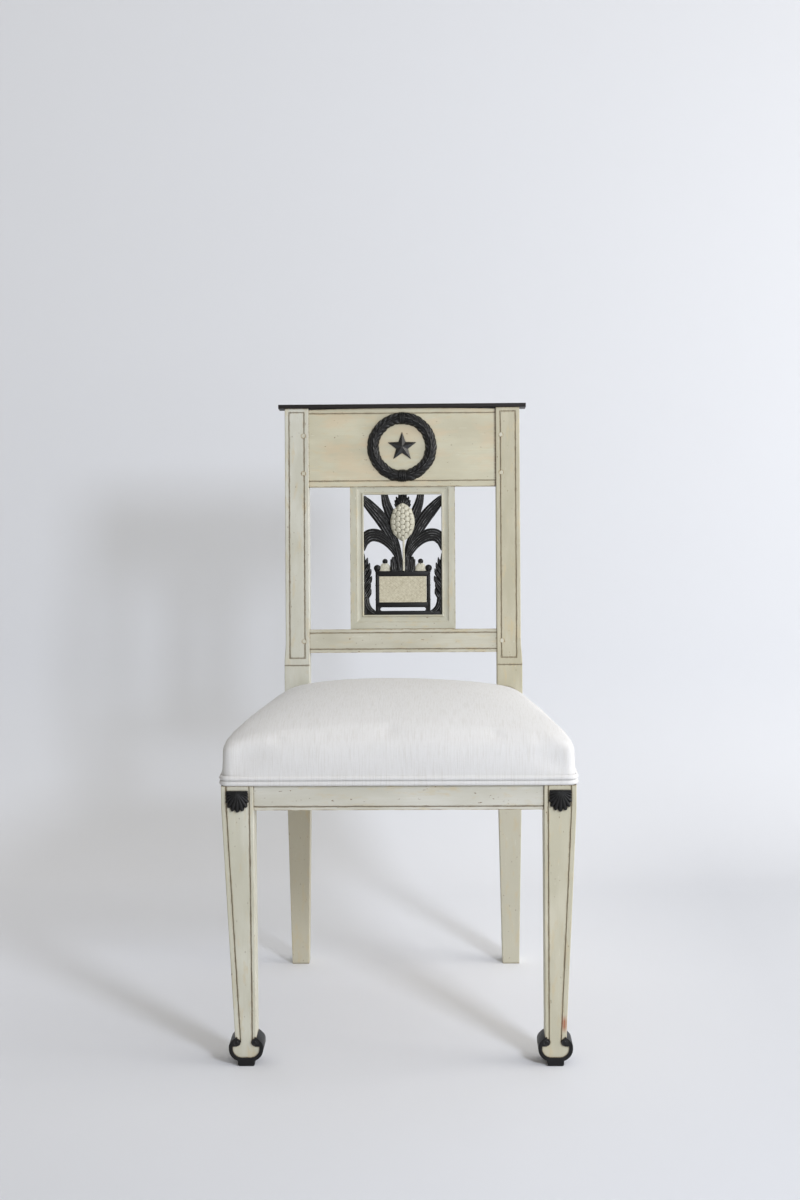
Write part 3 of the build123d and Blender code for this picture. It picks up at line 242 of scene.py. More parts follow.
def away_from_mitres(tree):
    """0 along the four mitres of the splat's frame, whose joints are closed and unworn, and 1 elsewhere."""
    place = axes_of(tree)
    middle = CREST_FOOT.z + (OPENING_FOOT + OPENING_HEIGHT / 2) * MM * math.cos(RAKE)
    above = times(tree, distance_from(tree, place["Z"], middle), 1 / math.cos(RAKE))
    slant = maths(tree, "SUBTRACT", maths(tree, "ABSOLUTE", place["X"]), above)
    return ramp(tree, distance_from(tree, slant, (OPENING_HALF - OPENING_HEIGHT / 2) * MM), 2 * MM, 4 * MM)


def near_line(tree, axis, line, wide_mm):
    """1 on a line across the chair at this place on an axis, fading to 0 within the width on either side."""
    return ramp(tree, distance_from(tree, axes_of(tree)[axis], line), wide_mm * MM, 0.3 * wide_mm * MM)


def painted_wood(name, light, dark, along, wear=1.0, mitred=False, blush=0.0, below=None, joint=None, chip=None):
    """Old oil paint brushed along one direction of the chair. Where it blushes, the undercoat shows through.

    below is the colour laid over the part under the seat: painted shade where the seat shades it, with a browner
    tone. joint is the X of a joint that has opened and filled with grime. chip is the X and Z of a knock that has
    bared the wood.
    """
    material, tree = new_material(name)

    def patches(across_mm, along_mm, detail=3.0, rough=0.5):
        return spots(tree, stretched(tree, across_mm, along_mm, along), detail, rough)

    streaks = patches(1.2, 60, 2.0)
    rubbed = patches(9, 30, 4.0, 0.6)
    broken = patches(2.0, 15, 4.0, 0.65)
    edge = edge_mask(tree, 3.0)
    dirt_and_shade = times(tree, dirt_and_shade_mask(tree, 4.5), 0.85)
    if mitred:
        edge, dirt_and_shade = [times(tree, mask, away_from_mitres(tree)) for mask in (edge, dirt_and_shade)]
    undercoat, bare = [times(tree, edge, ramp(tree, broken, *limits)) for limits in ((0.36, 0.54), (0.50, 0.60))]
    layers = [(ramp(tree, streaks, 0.30, 0.75, 0.0, 0.40), dark)]
    if below:
        # painted shade under the seat, darker from the seat downwards, with a browner tone
        layers.append((ramp(tree, axes_of(tree)["Z"], 0.42, 0.30, 0.0, 0.8), below))
    layers += [
        (ramp(tree, patches(1.6, 14, 3.0, 0.6), 0.66, 0.76, 0.0, 0.55), "#E0DFD3"),        # pale scuffs
        (ramp(tree, rubbed, 0.56, 0.72, 0.0, 0.55 * wear), "#C6B68F"),                     # thin paint
        (ramp(tree, patches(26, 60, 4.0, 0.55), 0.49, 0.63, 0.0, blush), "#CFBA9A"),       # pink cast
        (times(tree, undercoat, 0.80 * wear), "#B59F74"),
        (times(tree, bare, 0.92 * wear), "#5F452C"),
        # brown in corners and cut lines: dirt, and painted shade
        (dirt_and_shade, "#5A4C34"),
        (ramp(tree, patches(2.5, 5.5, 2.0, 0.4), 0.735, 0.755, 0.0, 0.8 * wear), "#6E5438"),     # small chips
    ]
    if joint is not None:
        opened = times(tree, near_line(tree, "X", joint, 3.4), ramp(tree, broken, 0.30, 0.50, 0.45, 1.0))
        layers.append((times(tree, opened, 0.85), "#4E3826"))
    if chip:
        knock = times(tree, near_line(tree, "X", chip[0], 4.5), near_line(tree, "Z", chip[1], 13.0))
        layers.append((times(tree, knock, ramp(tree, streaks, 0.35, 0.55, 0.4, 1.0)), "#A4674A"))
    base = tinted(tree, ramp(tree, patches(30, 90), 0.38, 0.64), dark, light)
    gloss = ramp(tree, streaks, 0.2, 0.8, 0.42, 0.58)
    finish(tree, layered(tree, base, layers), gloss, [(streaks, 0.12), (rubbed, 0.15)])
    return material


print("paint on wood ready")

# %% [markdown]
# ## Black paint and cream paint on carving
# The carving is painted black. Its ridges are grey, partly where hands and cloths have rubbed the paint and partly
# as painted highlight, and on the black paint some ridges carry a brighter painted glint. The carver's ridges are
# marked on the pieces as an attribute. The fruit and the planter's panel are cream, with a dark wash left lying in
# the cuts; the hollows are darkened with painted shade as well. The panel is scratched with a lattice of slanting
# lines.

# %% Paint on carving
def lattice(tree, pitch_mm, slant_degrees):
    """High on thin slanting lines that cross, over the face of the back."""
    place = axes_of(tree)
    lines = []
    for slope in (-math.tan(math.radians(slant_degrees)), math.tan(math.radians(slant_degrees))):
        height = maths(tree, "ADD", times(tree, place["X"], slope), place["Z"])
        wave = maths(tree, "SINE", times(tree, height, math.pi / (pitch_mm * MM)))
        lines.append(ramp(tree, times(tree, wave, wave), 0.14, 0.02))
    return maths(tree, "MAXIMUM", *lines)


def carving_paint(name, codes, ridge, hollow, rough, specular=0.32, glint=None, scratched=False):
    """Paint on carving. codes are those of the paint, its ridges, grey from rubbing and from painted highlight, and
    its hollows, darkened also by painted shade.

    Where glint is given, a painted highlight of that colour lies on the ridges in places.
    """
    material, tree = new_material(name)
    base_code, ridge_code, hollow_code = codes

    def even(size_mm, detail, rough=0.5):
        return spots(tree, stretched(tree, size_mm, size_mm, "Z"), detail, rough)

    mottled = even(3.0, 4.0, 0.6)
    patchy = ramp(tree, mottled, 0.36, 0.60)
    wear_and_sheen = ramp(tree, add(tree, "Attribute", attribute_name="wear_and_sheen").outputs["Fac"], 0.30, 0.95)
    # the ridges and edges lighter: rubbed paint, and painted highlight
    layers = [(times(tree, times(tree, mask, patchy), ridge), ridge_code)
              for mask in (wear_and_sheen, edge_mask(tree, 0.9, 0.70))]
    # a painted highlight: a pale glint on the ridges in patches
    if glint:
        glint_patches = ramp(tree, even(9.0, 3.0, 0.6), 0.50, 0.61)
        layers.append((times(tree, times(tree, wear_and_sheen, glint_patches), 0.85), glint))
    # darker in the hollows: the wash lying in the cuts, and painted shade
    layers.append((times(tree, dirt_and_shade_mask(tree, 2.2), hollow), hollow_code))
    bumps = [(even(0.8, 2.0), 0.06)]
    if scratched:
        cuts = lattice(tree, 7.2, 38)
        faint = ramp(tree, even(12.0, 3.0), 0.42, 0.66, 0.02, 0.34)
        layers.append((times(tree, cuts, faint), hollow_code))
        bumps.append((ramp(tree, cuts, 0.0, 1.0, 1.0, 0.0), 0.10))
    base = tinted(tree, ramp(tree, mottled, 0.35, 0.70, 0.0, 0.5), base_code, hollow_code)
    finish(tree, layered(tree, base, layers), rough, bumps, {"Specular IOR Level": specular})
    return material


BLACK = carving_paint("black_oil_paint_on_carving", ("#121213", "#606261", "#080808"), 0.54, 0.8, 0.44,
                      glint="#969899")
BLACK_POLISHED = carving_paint("polished_black_paint_on_star", ("#101011", "#5C5E5D", "#070707"), 0.5, 0.3, 0.24,
                               specular=0.75)
CREAM = carving_paint("cream_oil_paint_on_carving", ("#D0CEBD", "#DDDBCE", "#8B836B"), 0.6, 0.7, 0.55)
CREAM_SCRATCHED = carving_paint("scratched_cream_paint_on_panel", ("#CBC6B0", "#D6D2C2", "#948A6E"), 0.4, 0.9, 0.55,
                                scratched=True)
CAP_PAINT = carving_paint("brown_black_paint_on_cap", ("#1D1817", "#6B463A", "#0F0B0A"), 0.70, 0.5, 0.46)
print("carving paints ready")

# %% [markdown]
# ## Linen, jute, bare wood and steel
# The cover is undyed linen in plain weave. Its threads are uneven: thick slubs run up and down, one every few
# millimetres. The real threads stand 0.5 mm apart, too fine to show, so the weave is drawn at 0.9 mm. Below
# the seat there are jute webbing and hessian, bare pine blocks and plain steel screws.

# %% Cloth, pine and steel
THREAD_MM = 0.9


def linen(name):
    """Plain weave. Lengthwise threads climb the front and run on over the top; on the sides they stand up."""
    material, tree = new_material(name)
    place = axes_of(tree)
    over = maths(tree, "ADD", place["Y"], place["Z"])
    facing = axes_of(tree, add(tree, "NewGeometry").outputs["Normal"])["X"]
    at_side = ramp(tree, times(tree, facing, facing), 0.45, 0.60)

    def threads(width_mm, length_mm, crosswise=False):
        """Streaks as wide and as long as given, along the cloth or across it."""
        both = []
        for first, second in ((place["X"], over), (place["Y"], place["Z"])):
            if crosswise:
                first, second = second, first
            flat = add(tree, "CombineXYZ", {"X": times(tree, first, 1 / (width_mm * MM)),
                                            "Y": times(tree, second, 1 / (length_mm * MM))})
            both.append(spots(tree, flat.outputs[0], 3.0, 0.6))
        return add(tree, "Mix", {"Factor": at_side, 2: both[0], 3: both[1]}, data_type="FLOAT").outputs[0]

    slubs = threads(1.8, 34)
    fine = threads(THREAD_MM, 16)
    cross = threads(THREAD_MM, 10, crosswise=True)
    base = layered(tree, "#D9D9D8", [(ramp(tree, slubs, 0.48, 0.72, 0.0, 0.60), "#C9C7C2"),
                                     (ramp(tree, fine, 0.50, 0.72, 0.0, 0.42), "#CBCAC5"),
                                     (ramp(tree, cross, 0.55, 0.75, 0.0, 0.30), "#CDCCC7")])
    finish(tree, base, 0.92, [(slubs, 0.22), (fine, 0.18), (cross, 0.14)],
           {"Sheen Weight": 0.10, "Sheen Roughness": 0.5})
    return material


def jute(name, thread_mm, light, dark, along):
    material, tree = new_material(name)
    threads = spots(tree, stretched(tree, thread_mm, 30, along), 2.0)
    hairs = spots(tree, stretched(tree, 0.7, 0.7, "Z"), 2.0)
    finish(tree, tinted(tree, ramp(tree, threads, 0.3, 0.7), light, dark), 0.95, [(threads, 0.4), (hairs, 0.15)])
    return material


def bare_pine(name):
    """Sawn pine: growth rings cut lengthwise show as warm lines a few millimetres apart."""
    material, tree = new_material(name)
    rings = add(tree, "TexWave", {"Vector": stretched(tree, 9, 140, "X"), "Scale": 1.0, "Distortion": 5.0,
                                  "Detail": 2.0}, wave_type="BANDS")
    pores = spots(tree, stretched(tree, 0.5, 12, "X"), 2.0)
    base = layered(tree, "#CFAE7E", [(ramp(tree, rings.outputs["Fac"], 0.2, 0.9), "#A98353"),
                                     (ramp(tree, pores, 0.55, 0.75, 0.0, 0.3), "#8C6A42")])
    finish(tree, base, 0.7, [(pores, 0.1)])
    return material


def plain_steel(name):
    material, tree = new_material(name)
    scuffs = spots(tree, stretched(tree, 0.6, 0.6, "Z"), 3.0)
    finish(tree, tinted(tree, scuffs, "#8E8C88", "#6A6763"), 0.42, [(scuffs, 0.03)], {"Metallic": 1.0})
    return material


LINEN = linen("undyed_linen_plain_weave")
WEBBING = jute("jute_webbing", 1.6, "#B39A6E", "#8B7249", "Y")
WEBBING_ACROSS = jute("jute_webbing_across", 1.6, "#B39A6E", "#8B7249", "X")
HESSIAN = jute("hessian_cloth", 1.2, "#A78D63", "#80693F", "X")
print("cloth, wood and steel ready")

# %% [markdown]
# ## Studio
# The studio is a roll of pale paper that runs down a wall and out over the floor without a corner. A soft
# lamp stands at the front right, half a metre higher than the back of the chair, so that a pale shadow of the
# chair falls to the left on floor and wall. A large window at the right and the room itself light the rest.

# %% Studio paper and lamps
PAPER_WIDTH = 7.0
WALL_PLACE = 0.90        # behind the chair
PAPER_BEND = 0.35
PAPER_FRONT = -3.5
WALL_TOP = 3.2
BEND_STEPS = 16


def studio_paper():
    """Matt paper with painted shade: a little darker in front and at the right, and a touch darker up the wall.
    Seen from behind it isn't there, so the chair shows from all sides."""
    material, tree = new_material("matt_studio_paper")
    place = axes_of(tree)
    # painted shade: darker towards the front, at the right and up the wall
    floor = tinted(tree, ramp(tree, place["Y"], -1.1, 0.1), "#C5C8CD", "#E9EBEF")
    base = layered(tree, floor, [(ramp(tree, place["X"], 0.15, 0.55, 0.0, 0.65), "#CBCED3"),
                                 (ramp(tree, place["Y"], 0.6, 0.85), "#E1E4E9")])
    matt = add(tree, "BsdfPrincipled", {"Base Color": base, "Roughness": 0.95})
    behind = add(tree, "NewGeometry").outputs["Backfacing"]
    looked_at = add(tree, "LightPath").outputs["Is Camera Ray"]
    clear = add(tree, "BsdfTransparent")
    both = add(tree, "MixShader", {0: times(tree, behind, looked_at), 1: matt.outputs[0], 2: clear.outputs[0]})
    add(tree, "OutputMaterial", {"Surface": both.outputs[0]})
    return material


def make_paper():
    """A floor strip whose far edge is extruded round a quarter circle and up the wall."""
    bpy.ops.object.select_all(action="DESELECT")
    bpy.ops.mesh.primitive_plane_add(size=1)
    paper = bpy.context.object
    paper.name = "studio_paper_roll"
    length = WALL_PLACE - PAPER_BEND - PAPER_FRONT
    middle = (WALL_PLACE - PAPER_BEND + PAPER_FRONT) / 2
    paper.data.transform(Matrix.Translation((0, middle, 0)) @ Matrix.Diagonal((PAPER_WIDTH, length, 1, 1)))
    bpy.ops.object.mode_set(mode="EDIT")
    bpy.ops.mesh.select_all(action="DESELECT")
    bpy.ops.object.mode_set(mode="OBJECT")
    for edge in paper.data.edges:
        edge.select = all(paper.data.vertices[v].co.y > middle for v in edge.vertices)
    bpy.ops.object.mode_set(mode="EDIT")
    for index in range(BEND_STEPS):
        first = index * math.pi / (2 * BEND_STEPS)
        last = first + math.pi / (2 * BEND_STEPS)
        move = (0, PAPER_BEND * (math.sin(last) - math.sin(first)), PAPER_BEND * (math.cos(first) - math.cos(last)))
        bpy.ops.mesh.extrude_region_move(TRANSFORM_OT_translate={"value": move})
    bpy.ops.mesh.extrude_region_move(TRANSFORM_OT_translate={"value": (0, 0, WALL_TOP)})
    bpy.ops.object.mode_set(mode="OBJECT")
    bpy.ops.object.shade_smooth()
    for face in paper.data.polygons:
        if face.normal.z <= 0.5 and face.normal.y >= 0:      # it looks away from the sitter
            face.flip()
    paper.data.materials.append(studio_paper())


def make_lamp(name, place, aim, size, power, tint):
    data = bpy.data.lights.new(name, "AREA")
    data.size = size
    data.energy = power
    data.color = colour(tint)[:3]
    lamp = bpy.data.objects.new(name, data)
    bpy.context.scene.collection.objects.link(lamp)
    lamp.location = place
    lamp.rotation_euler = (Vector(aim) - Vector(place)).to_track_quat("-Z", "Y").to_euler()


def make_room():
    """The room's own warm light, with daylight from the whole right side."""
    world = bpy.data.worlds.new("studio_room")
    bpy.context.scene.world = world
    world.use_nodes = True
    tree = world.node_tree
    tree.nodes.clear()
    right = axes_of(tree, add(tree, "TexCoord").outputs["Generated"])["X"]
    room, day = [add(tree, "Background", {"Color": code, "Strength": strength}).outputs[0]
                 for code, strength in (("#FFFAF1", 0.375), ("#FFFCF9", ramp(tree, right, 0.0, 1.0, 0.0, 1.50)))]
    both = add(tree, "AddShader", {0: room, 1: day})
    add(tree, "OutputWorld", {"Surface": both.outputs[0]})


make_paper()
make_room()
make_lamp("lamp_front_right", (1.15, -1.80, 1.36), (0, 0.1, 0.45), 0.36, 25, "#EDF2FF")
make_lamp("window_right", (2.3, -0.2, 1.1), (0.2, 0.9, 0.8), 1.2, 14.5, "#FFFBF5")
bpy.context.scene.view_settings.view_transform = "Standard"
print("studio ready")

# %% [markdown]
# ## Finishes on the joinery
# The legs, posts, rails, mouldings and the star have their right shape already, so each only gets its finish.
# The brush followed the length of each stick, so uprights, rails and side rails have a paint each. The other
# nodes get theirs too, although carved and sewn pieces take their place further on.

# %% Paint the joinery
LEG_KNOCK = (0.2140, 0.0565)                    # across and up, on the right front leg
CREST_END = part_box("rear_post_right")[0].x      # the crest rail's joint with the right post

# Each row: material, light and dark shade, direction of the brush, other marks, pieces.
PAINTED = (
    ("celadon_oil_paint_on_left_leg", "#CFCEC0", "#C0BEAC", "Z", {}, ("front_leg_left", "joint_pegs")),
    ("celadon_oil_paint_on_right_leg", "#CBC7B3", "#BDB9A3", "Z", {"chip": LEG_KNOCK}, ("front_leg_right",)),
    # below: painted shade on the legs under the seat
    ("celadon_oil_paint_on_left_rear_post", "#CECEC3", "#C0BFB0", "Z", {"below": "#BFB9A3"}, ("rear_post_left",)),
    ("celadon_oil_paint_on_right_rear_post", "#C2BDA7", "#B3AE96", "Z", {"below": "#C2BFAD"}, ("rear_post_right",)),
    ("celadon_oil_paint_on_rails", "#CFCEC4", "#C1BFB1", "X", {}, ("front_rail", "rear_rail")),
    ("celadon_oil_paint_on_lower_back_rail", "#C8C6B6", "#B9B6A4", "X", {}, ("lower_back_rail",)),
    ("celadon_oil_paint_on_side_rails", "#CBCABB", "#BCBAA8", "Y", {}, ("side_rail",)),
    ("olive_grey_paint_on_frame_sides", "#C4C3B4", "#B4B29F", "Z", {"mitred": True}, ("splat_frame_side",)),
    ("olive_grey_paint_on_frame_ends", "#C3C2B2", "#B4B29F", "X", {"mitred": True},
     ("splat_frame_top", "splat_frame_bottom")),
    ("cream_oil_paint_on_crest", "#C9C6AF", "#BBB69E", "X", {"wear": 0.9, "blush": 0.42, "joint": CREST_END},
     ("crest_rail",)),
)


def paint_nodes(material, *stems):
    """Gives a finish to the nodes that have one of these names, with or without an ending."""
    for name, node in NODES.items():
        if any(name == stem or name.startswith(stem + "_") for stem in stems):
            node.data.materials.clear()
            node.data.materials.append(material)


for title, light, dark, along, marks, stems in PAINTED:
    paint_nodes(painted_wood(title, light, dark, along, **marks), *stems)
paint_nodes(CAP_PAINT, "cap_moulding")
paint_nodes(BLACK_POLISHED, "star")
paint_nodes(BLACK, "wreath", "splat_openwork", "planter_finials", "leg_shell", "foot_scroll")
paint_nodes(CREAM, "pineapple", "planter_buds")
paint_nodes(CREAM_SCRATCHED, "planter_panel")
paint_nodes(LINEN, "seat_cushion", "double_welt")
paint_nodes(WEBBING, "seat_webbing")
paint_nodes(HESSIAN, "seat_hessian")
paint_nodes(bare_pine("sawn_pine"), "corner_block")
paint_nodes(plain_steel("plain_steel"), "corner_block_screws")
print("left bare:", [name for name, node in NODES.items() if not node.data.materials])

# %% [markdown]
# ## Working on pieces
# A few short functions are used for every piece: they make it from a basic mesh, select, copy, join and smooth it,
# and hide the CAD nodes it stands for. Two more read places and values off a line.

# %% Piece helpers
UPRIGHT = Matrix.Rotation(math.radians(90), 4, "X")      # turns what faces up to face the sitter


def start_piece(piece=None):
    """Back to object mode with nothing selected, or with one piece selected and active."""
    if bpy.context.object and bpy.context.object.mode != "OBJECT":
        bpy.ops.object.mode_set(mode="OBJECT")
    bpy.ops.object.select_all(action="DESELECT")
    if piece:
        bpy.context.view_layer.objects.active = piece
        piece.select_set(True)


def smooth_angle(piece, degrees=40):
    start_piece(piece)
    bpy.ops.object.shade_smooth_by_angle(angle=math.radians(degrees))


def joined(pieces, name):
    """Several pieces as one mesh object."""
    start_piece(pieces[0])
    for piece in pieces:
        piece.select_set(True)
    if len(pieces) > 1:
        bpy.ops.object.join()
    whole = bpy.context.object
    whole.name = name
    whole.data.name = name
    return whole


def assembled(pieces, name, degrees, place=Matrix.Identity(4)):
    """Several pieces joined, laid in their place on the chair and smoothed up to an angle."""
    whole = joined(pieces, name)
    whole.data.transform(place)
    smooth_angle(whole, degrees)
    return whole


def settle(piece, material, slot, *nodes):
    """Gives a finished piece its finish and lets it stand for its CAD nodes."""
    piece.data.materials.clear()
    piece.data.materials.append(material)
    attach(piece, "root")
    if nodes:
        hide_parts(*nodes)
    print(piece.name, len(piece.data.polygons), "faces")


def apply_all(piece):
    start_piece(piece)
    for modifier in list(piece.modifiers):
        bpy.ops.object.modifier_apply(modifier=modifier.name)


def modified(piece, kind, **settings):
    """Adds one modifier with its settings and applies it."""
    modifier = piece.modifiers.new(kind.lower(), kind)
    for name, value in settings.items():
        setattr(modifier, name, value)
    apply_all(piece)


def basic(operator, **settings):
    """A new mesh, made by one of the operators for basic shapes."""
    start_piece()
    operator(**settings)
    return bpy.context.object


def block(low, high):
    """A box between two corners."""
    piece = basic(bpy.ops.mesh.primitive_cube_add, size=1)
    low, high = Vector(low), Vector(high)
    piece.data.transform(Matrix.Translation((low + high) / 2) @ Matrix.Diagonal((*(high - low), 1)))
    return piece


def linked_copy(piece):
    """A copy with a mesh of its own, in the scene."""
    copy = piece.copy()
    copy.data = piece.data.copy()
    bpy.context.scene.collection.objects.link(copy)
    return copy


def clamped(value, low, high):
    return max(low, min(high, value))


def along_curve(points, share):
    """A point on a smooth line through the given points, and the line's direction there."""
    last = len(points) - 1
    at = clamped(share, 0.0, 1.0) * last
    index = min(int(at), last - 1)
    step = at - index
    before = points[max(index - 1, 0)]
    first, second = points[index], points[index + 1]
    after = points[min(index + 2, last)]
    bend, twist = before * 2 - first * 5 + second * 4 - after, first * 3 - before - second * 3 + after
    spot = (first * 2 + (second - before) * step + bend * step * step + twist * step ** 3) / 2
    way = ((second - before) + bend * 2 * step + twist * 3 * step * step) / 2
    return spot, way.normalized()


def between(values, share):
    """A value read off a list, in equal steps from the first to the last."""
    at = clamped(share, 0.0, 1.0) * (len(values) - 1)
    index = min(int(at), len(values) - 2)
    return values[index] + (values[index + 1] - values[index]) * (at - index)


print("piece helpers ready")

# %% [markdown]
# ## A carved leaf
# Each leaf of the splat is a sawn blade with a carved face: a gouge has run along it side by side, so that sharp
# ridges stand between hollow flutes. A grid is extruded into a slab, then its columns are laid along the leaf's
# line. The ridges are noted in an attribute, because there the paint is rubbed and a painted highlight lies on
# them.

# %% Leaf slab
PANEL_BACK = -15.0           # from the crest rail's face
PANEL_THICKNESS = 8.0
ON_PANEL = ON_BACK @ Matrix.Translation((0, OPENING_FOOT * MM, PANEL_BACK * MM))
FRAME_LAP = 4.0              # how far the openwork reaches behind the frame
LEAF_SINK = 0.6              # how far the foot of a leaf lies below the planter's face


def slab(columns, rows):
    """A unit slab: a grid from -1 to 1 both ways, extruded down to -1."""
    piece = basic(bpy.ops.mesh.primitive_grid_add, x_subdivisions=columns, y_subdivisions=rows, size=2)
    bpy.ops.object.mode_set(mode="EDIT")
    bpy.ops.mesh.select_all(action="SELECT")
    bpy.ops.mesh.extrude_region_move(TRANSFORM_OT_translate={"value": (0, 0, -1)})
    bpy.ops.mesh.select_all(action="SELECT")
    bpy.ops.mesh.normals_make_consistent(inside=False)
    bpy.ops.object.mode_set(mode="OBJECT")
    return piece


def carved_leaf(line_mm, half_widths_mm, base_mm, rise_mm, flutes=5, cut_mm=0.8, columns=None, rows=26):
    """A blade along a line of (across, up) points, fluted along its length."""
    points = [Vector((x, y, 0)) * MM for x, y in line_mm]
    leaf = slab(columns or 6 * flutes, rows)
    # the ridges' mark: there the paint is rubbed and a painted highlight lies
    wear_and_sheen = leaf.data.attributes.new("wear_and_sheen", "FLOAT", "POINT")
    for vertex in leaf.data.vertices:
        side, share = vertex.co.x, (vertex.co.y + 1) / 2
        spot, way = along_curve(points, share)
        half = between(half_widths_mm, share) * MM
        place = spot + Vector((way.y, -way.x, 0)) * side * half
        if vertex.co.z > -0.5:
            crown = rise_mm * (1 - abs(side) ** 2.4) * min(1, 4 * half / (rise_mm * MM) + 0.2)
            flute = abs(math.sin(math.pi * flutes * (side + 1) / 2)) ** 0.8
            place.z = (base_mm + crown - cut_mm * flute * min(1, share * 5, (1 - share) * 7 + 0.2)) * MM
            wear_and_sheen.data[vertex.index].value = max(0.0, 1 - flute * 1.5) if abs(side) < 0.99 else 0.35
        vertex.co = place
    return leaf


def kept_behind_frame(piece):
    """What runs past the opening stays below the lip of the frame that laps over it."""
    reach = (OPENING_HALF + FRAME_LAP) * MM
    for vertex in piece.data.vertices:
        if abs(vertex.co.x) > OPENING_HALF * MM or not 0 < vertex.co.y < OPENING_HEIGHT * MM:
            vertex.co.x = clamped(vertex.co.x, -reach, reach)
            vertex.co.y = clamped(vertex.co.y, -FRAME_LAP * MM, (OPENING_HEIGHT + FRAME_LAP) * MM)
            vertex.co.z = min(vertex.co.z, (PANEL_THICKNESS - 0.3) * MM)


def rooted(piece, rail_top_mm):
    """The foot of a leaf dips behind the face of the planter's rail, so that the leaf grows out above it."""
    for vertex in piece.data.vertices:
        above = max(0.0, vertex.co.y - (rail_top_mm - 1.0) * MM)
        vertex.co.z = min(vertex.co.z, (PANEL_THICKNESS - LEAF_SINK) * MM + 1.6 * above)


print("leaf maker ready")

# %% [markdown]
# ## The openwork plant
# A pineapple plant grows from a planter inside the splat's frame, sawn out of one board and carved. The board's
# face lies 7 mm behind the crest rail's face, and it is 8 mm thick. Heights are counted from the bottom of
# the opening. The left half mirrors the right one.

# %% Plant and planter
PLANTER_RIM = 66.4           # top of the planter's upper rail
SLOT_END = 35.2              # half the length of the slot between its rails


def mirrored_copy(piece):
    """The same piece on the other side of the middle line, turned the right way out again."""
    copy = linked_copy(piece)
    copy.data.transform(Matrix.Diagonal((-1, 1, 1, 1)))
    copy.data.flip_normals()
    return copy


def both_sides(pieces):
    return pieces + [mirrored_copy(piece) for piece in pieces]


def bar(x_low, x_high, y_low, y_high, back=0.0, front=PANEL_THICKNESS, round_mm=1.6):
    """A squared bar with rounded edges, in millimetres."""
    piece = block(Vector((x_low, y_low, back)) * MM, Vector((x_high, y_high, front)) * MM)
    modified(piece, "BEVEL", width=round_mm * MM, segments=3)
    return piece


def plant_right():
    """Leaves of the right half, from those behind to those in front."""
    return [
        carved_leaf([(7, 118), (14, 140), (20.4, 157), (25.2, 170.5), (28.2, 186)], [5, 7.6, 7.6, 6.6, 4.6],
                    5.4, 2.4, 4, 1.0),
        carved_leaf([(3.4, 68), (6.4, 87), (12.4, 108), (21.5, 127), (33.5, 146.5), (42.6, 157.6), (52.4, 168.6),
                     (61, 178)], [4.0, 5.6, 7.4, 8.8, 9.8, 9.2, 7.6, 4.6], 6.0, 3.0, 5, 1.1, rows=38),
        carved_leaf([(2.8, 66), (6.2, 86), (14.5, 102), (26.5, 114), (39.0, 120.6), (50.5, 120.2), (59, 112),
                     (62, 98)], [3.6, 5.4, 6.8, 8.0, 9.6, 9.6, 8.6, 4.0], 6.8, 3.2, 5, 1.1, rows=40),
        carved_leaf([(10.5, 60), (12.4, 69), (13.2, 77), (14.4, 88.0)], [6.2, 6.5, 5.8, 1.8], 7.0, 2.4, 4, 0.9,
                    rows=16),
        carved_leaf([(14.4, 62), (15.8, 70), (16.4, 76), (18.2, 84)], [3.2, 3.3, 2.7, 0.8], 7.6, 2.0, 2, 0.7,
                    rows=12),
        carved_leaf([(4.2, 62), (4.9, 80), (7.6, 95), (11.5, 109)], [3.6, 4.6, 3.6, 1.4], 8.2, 2.4, 3, 0.8),
    ]


def acanthus_right():
    """A stem against the frame with lobes that curl up and in from it, and a foot that spreads out."""
    side = OPENING_HALF
    pieces = [carved_leaf([(side - 1, 2), (side - 1.6, 40), (side - 0.6, 70), (side + 0.6, 93)],
                          [3.8, 4.0, 3.2, 1.2], 6.0, 2.2, 3)]
    lobes = ((87, 5.4, 2.8), (79, 8.6, 3.4), (70, 10.6, 3.8), (59, 11.6, 4.0), (49.5, 9.6, 3.8), (40, 10.2, 4.2))
    for tip, reach, half in lobes:
        line = [(side + 2, tip - 19), (side - reach * 0.30, tip - 13), (side - reach * 0.74, tip - 6.5),
                (side - reach * 0.98, tip)]
        pieces.append(carved_leaf(line, [half, half * 1.1, half * 0.92, 0.5], 6.2 + 0.3 * random.random(), 2.8,
                                  3, 0.9, columns=12, rows=16))
    pieces.append(carved_leaf([(side + 2, 38), (side - 2.4, 28), (side - 3.8, 17), (side - 8.0, 8.6),
                               (side - 16, 3)], [4.4, 4.6, 4.8, 4.6, 3.0], 6.4, 2.4, 3, 0.8, columns=12, rows=18))
    return pieces


def planter_right():
    """The planter's right post, with two rings on it."""
    rings = [bar(35.5, 42.0, low, low + 1.6, -0.2, PANEL_THICKNESS + 0.3, 0.5) for low in (22, 44)]
    return [bar(35.9, 41.6, 4, PLANTER_RIM, round_mm=2.2)] + rings


def planter_middle():
    """The planter's two rails, the base strip, and thin bars that round off both ends of the slot between."""
    pieces = [bar(-41, 41, 58.3, PLANTER_RIM), bar(-41, 41, 11.2, 19.0),
              bar(-OPENING_HALF - 3, OPENING_HALF + 3, -3, 6.0, front=PANEL_THICKNESS - 0.4)]
    for side in (-1, 1):
        for up, reach in ((6.0, 2.2), (6.8, 1.3), (8.5, 0.7), (10.2, 1.3), (11.0, 2.2)):
            low, high = sorted((side * (SLOT_END - reach), side * (SLOT_END + 1.8)))
            pieces.append(bar(low, high, up - 0.9, up + 0.9, front=PANEL_THICKNESS - 0.5, round_mm=0.5))
    return pieces


